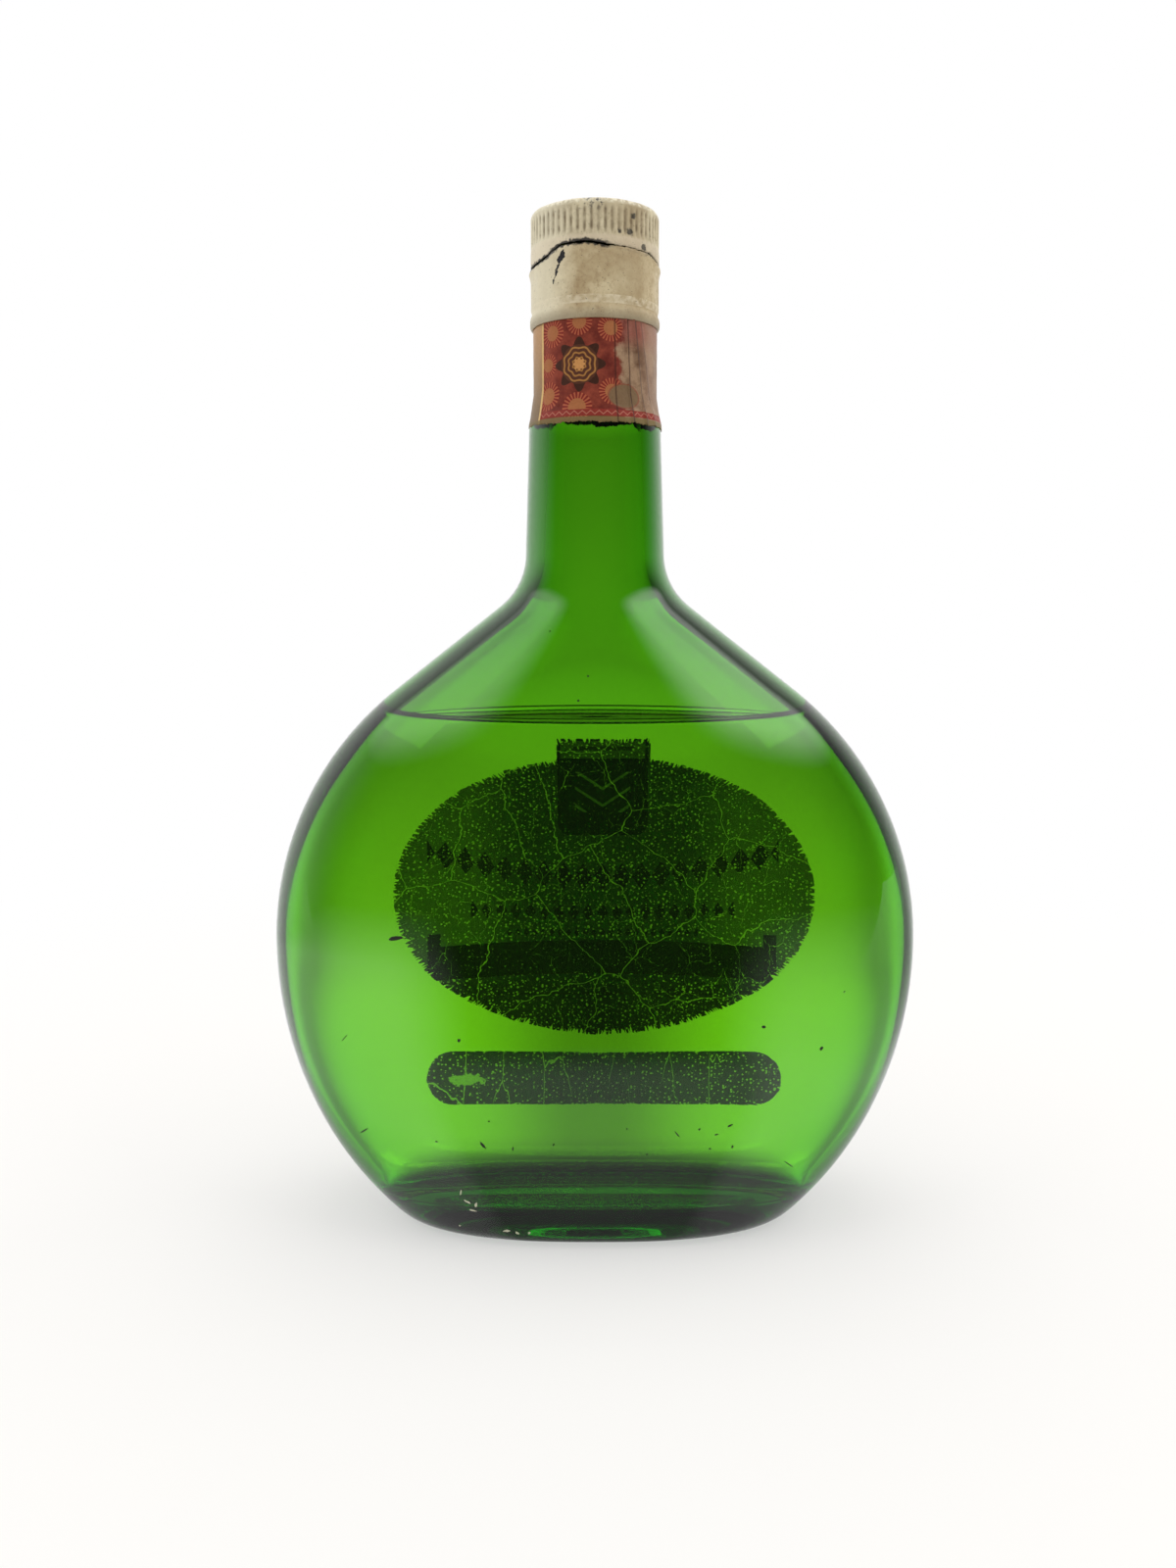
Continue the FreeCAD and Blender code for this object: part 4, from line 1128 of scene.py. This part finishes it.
# %% [markdown]
# ## Floor
# A plain pale floor, which a paper sweep would make. Bare glass shows nothing but what stands
# round it, so its looks are made here as much as in its own material. The floor therefore
# answers three kinds of ray on their own: rays that went through the glass, rays that the
# glass mirrors, and rays straight from the camera. Everything else sees matt paper.

# %% Floor
bpy.ops.mesh.primitive_plane_add(size=12.0)
floor = bpy.context.object
floor.name = "floor"
paper, tree = material("pale_floor_paper")
path = add(tree, "LightPath")
spot = add(tree, "TexCoord").outputs["Object"]
place = add(tree, "SeparateXYZ", spot)
apart = add(tree, "VectorMath LENGTH", spot).outputs["Value"]
aside = add(tree, "Math ABSOLUTE", place.outputs["X"])
oval_place = add(tree, "VectorMath MULTIPLY", spot, (0.46, 1.0, 1.0))
foot = add(tree, "VectorMath LENGTH", oval_place).outputs["Value"]

# %% Seen through the glass: shade under the foot and straight behind it, bright at the sides
contact = add(tree, "MapRange", foot, 0.038, 0.085, 0.0, 1.0, interpolation_type="SMOOTHSTEP")
fade = add(tree, "MapRange", apart, 0.17, 0.3, 1.15, 0.68, interpolation_type="SMOOTHSTEP")
shade = add(tree, "MapRange", aside, 0.004, 0.036, 0.42, 1.0, interpolation_type="SMOOTHSTEP")
shade = add(tree, "Mix", add(tree, "MapRange", apart, 0.2, 0.34, 0.0, 1.0), {2: shade, 3: 1.0})
far = add(tree, "MapRange", apart, 0.5, 4.0, 1.0, 0.72)
in_front = add(tree, "MapRange", place.outputs["Y"], -0.05, 0.02, 0.2, 1.0)
through = all_of(tree, contact, fade, shade, far, in_front)

# %% Mirrored in the glass: the room in front is dark, the floor beside and behind is bright
front = add(tree, "Math MULTIPLY", place.outputs["Y"], -1.0)
turned = add(tree, "Math ARCTAN2", aside, front)
beside = add(tree, "MapRange", turned, 0.45, 0.85, 0.0, 1.0, interpolation_type="SMOOTHSTEP")
left = add(tree, "VectorMath LENGTH", add(tree, "VectorMath ADD", spot, (0.1, 0.0, 0.0)))
near = add(tree, "MapRange", add(tree, "Math DIVIDE", 1.0, left.outputs["Value"]), 0.8, 4.5, 0.06, 1.3)
close = add(tree, "MapRange", front, 0.095, 0.135, 0.72, 0.03, interpolation_type="SMOOTHSTEP")
slant = add(tree, "Math MULTIPLY_ADD", place.outputs["X"], -0.2, place.outputs["Y"])
slant = add(tree, "Math DIVIDE", slant, apart)
behind = add(tree, "MapRange", slant, -0.25, 0.65, 0.04, 1.2, interpolation_type="SMOOTHSTEP")
own_shadow = add(tree, "MapRange", foot, 0.02, 0.06, 0.4, 1.0)
mirrored = any_of(tree, all_of(tree, beside, near), close, behind)
mirrored = all_of(tree, mirrored, own_shadow)

# %% Seen by the camera: white away from the object, with its soft shadow near it
open_floor = add(tree, "MapRange", apart, 0.12, 0.42, 0.5, 1.0, interpolation_type="SMOOTHSTEP")
share = add(tree, "Mix", path.outputs["Is Camera Ray"], {2: 0.0, 3: open_floor})
share = any_of(tree, share, path.outputs["Is Transmission Ray"], path.outputs["Is Glossy Ray"])
bright = add(tree, "Mix", path.outputs["Is Glossy Ray"], {2: 1.0, 3: mirrored})
bright = add(tree, "Mix", path.outputs["Is Transmission Ray"], {2: bright, 3: through})
matt = add(tree, "BsdfDiffuse", {"Color": "#ece9e4"})
glow = add(tree, "Emission", {"Color": (1, 1, 1, 1), "Strength": bright})
add(tree, "OutputMaterial", {"Surface": add(tree, "MixShader", share, matt, glow)})
floor.data.materials.append(paper)

# %% [markdown]
# ## World, lamps and camera
# The room is a white sweep with two high windows. Through the glass one sees the sweep fade
# from the floor's white to grey at eye height, while a bright ceiling in front lights the
# backs of the labels. In the glass the windows are mirrored as two soft streaks, left and
# right, and the room in front stays dark, so that the glass keeps its colour. Both rooms are
# shaped for this bottle, and in places they are stronger than white, so under a plain white
# world it will show other lights and darks. The soft boxes give the shape of the painted cap
# and the paper; they are not mirrored themselves. The camera stands close, as a hand-held one
# would, so the object is drawn with a strong perspective.

# %% The room through the glass
world = bpy.data.worlds.new("studio")
bpy.context.scene.world = world
world.use_nodes = True
tree = world.node_tree
tree.nodes.clear()
path = add(tree, "LightPath")
toward = add(tree, "SeparateXYZ", add(tree, "TexCoord").outputs["Generated"])
wall = add(tree, "ValToRGB", toward.outputs["Z"],
           stops=[(0.0, 0.5), (0.12, 0.38), (0.3, 0.12), (0.5, 0.04), (1.0, 0.04)])
ceiling = add(tree, "MapRange", toward.outputs["Z"], 0.52, 0.66, 0.12, 2.6, interpolation_type="SMOOTHSTEP")
room = add(tree, "Mix", add(tree, "MapRange", toward.outputs["Y"], -0.05, 0.1, 0.0, 1.0),
           {2: ceiling, 3: wall})

# %% The room in the glass, with its two windows
slant = add(tree, "Math MULTIPLY_ADD", toward.outputs["X"], -0.2, toward.outputs["Y"])
sweep = add(tree, "MapRange", slant, -0.25, 0.65, 0.04, 1.2, interpolation_type="SMOOTHSTEP")
sill = add(tree, "MapRange", toward.outputs["Z"], 0.42, 0.56, interpolation_type="SMOOTHSTEP")
head = add(tree, "MapRange", toward.outputs["Z"], 0.69, 0.8, 1.0, 0.0, interpolation_type="SMOOTHSTEP")
jamb = add(tree, "MapRange", toward.outputs["Y"], 0.12, 0.45, 1.0, 0.0, interpolation_type="SMOOTHSTEP")
sides = add(tree, "MapRange", add(tree, "Math ABSOLUTE", toward.outputs["X"]), 0.34, 0.6,
            interpolation_type="SMOOTHSTEP")
daylight = add(tree, "MapRange", toward.outputs["X"], -0.5, 0.5, 2.0, 3.1)
windows = all_of(tree, daylight, sill, head, jamb, sides)

# %% Which ray sees which room
level = add(tree, "Mix", path.outputs["Is Glossy Ray"], {2: 0.75, 3: any_of(tree, sweep, windows)})
level = add(tree, "Mix", path.outputs["Is Transmission Ray"], {2: level, 3: room})
level = add(tree, "Mix", path.outputs["Is Camera Ray"], {2: level, 3: 1.0})
add(tree, "OutputWorld", add(tree, "Background", {"Color": (1, 1, 1, 1), "Strength": level}))

# %% Soft boxes
def softbox(name, place, aim, width, height, power):
    lamp = bpy.data.lights.new(name, "AREA")
    lamp.shape, lamp.size, lamp.size_y, lamp.energy = "RECTANGLE", width, height, power
    box = bpy.data.objects.new(name, lamp)
    bpy.context.scene.collection.objects.link(box)
    box.location = place
    direction = Vector(aim) - Vector(place)
    box.rotation_euler = direction.to_track_quat("-Z", "Y").to_euler()
    box.visible_glossy = False
    return box


softbox("left_box", (-0.72, -0.05, 0.86), (0, 0, 0.13), 1.0, 0.42, 2.6)
softbox("right_box", (0.72, -0.05, 0.86), (0, 0, 0.13), 1.0, 0.42, 3.4)
softbox("top_box", (0, 0.1, 1.2), (0, 0, 0.1), 0.7, 0.7, 3.0)

# %% Camera: 29 cm away, looking 5 degrees down
EYE, DOWN, FOCAL_LENGTH, FILM_WIDTH = (0, -0.2942, 0.1502), 5, 27.9, 36.0
lens = bpy.data.cameras.new("camera")
camera = bpy.data.objects.new("camera", lens)
bpy.context.scene.collection.objects.link(camera)
camera.location = EYE
camera.rotation_euler = (math.radians(90 - DOWN), 0, 0)
lens.lens, lens.sensor_width = FOCAL_LENGTH, FILM_WIDTH
lens.shift_x, lens.shift_y = -0.0044, -0.0497
lens.clip_start = 0.01
bpy.context.scene.camera = camera
bpy.context.scene.view_settings.view_transform = "Standard"
bpy.context.scene.cycles.max_bounces = 24
bpy.context.scene.cycles.transmission_bounces = 24
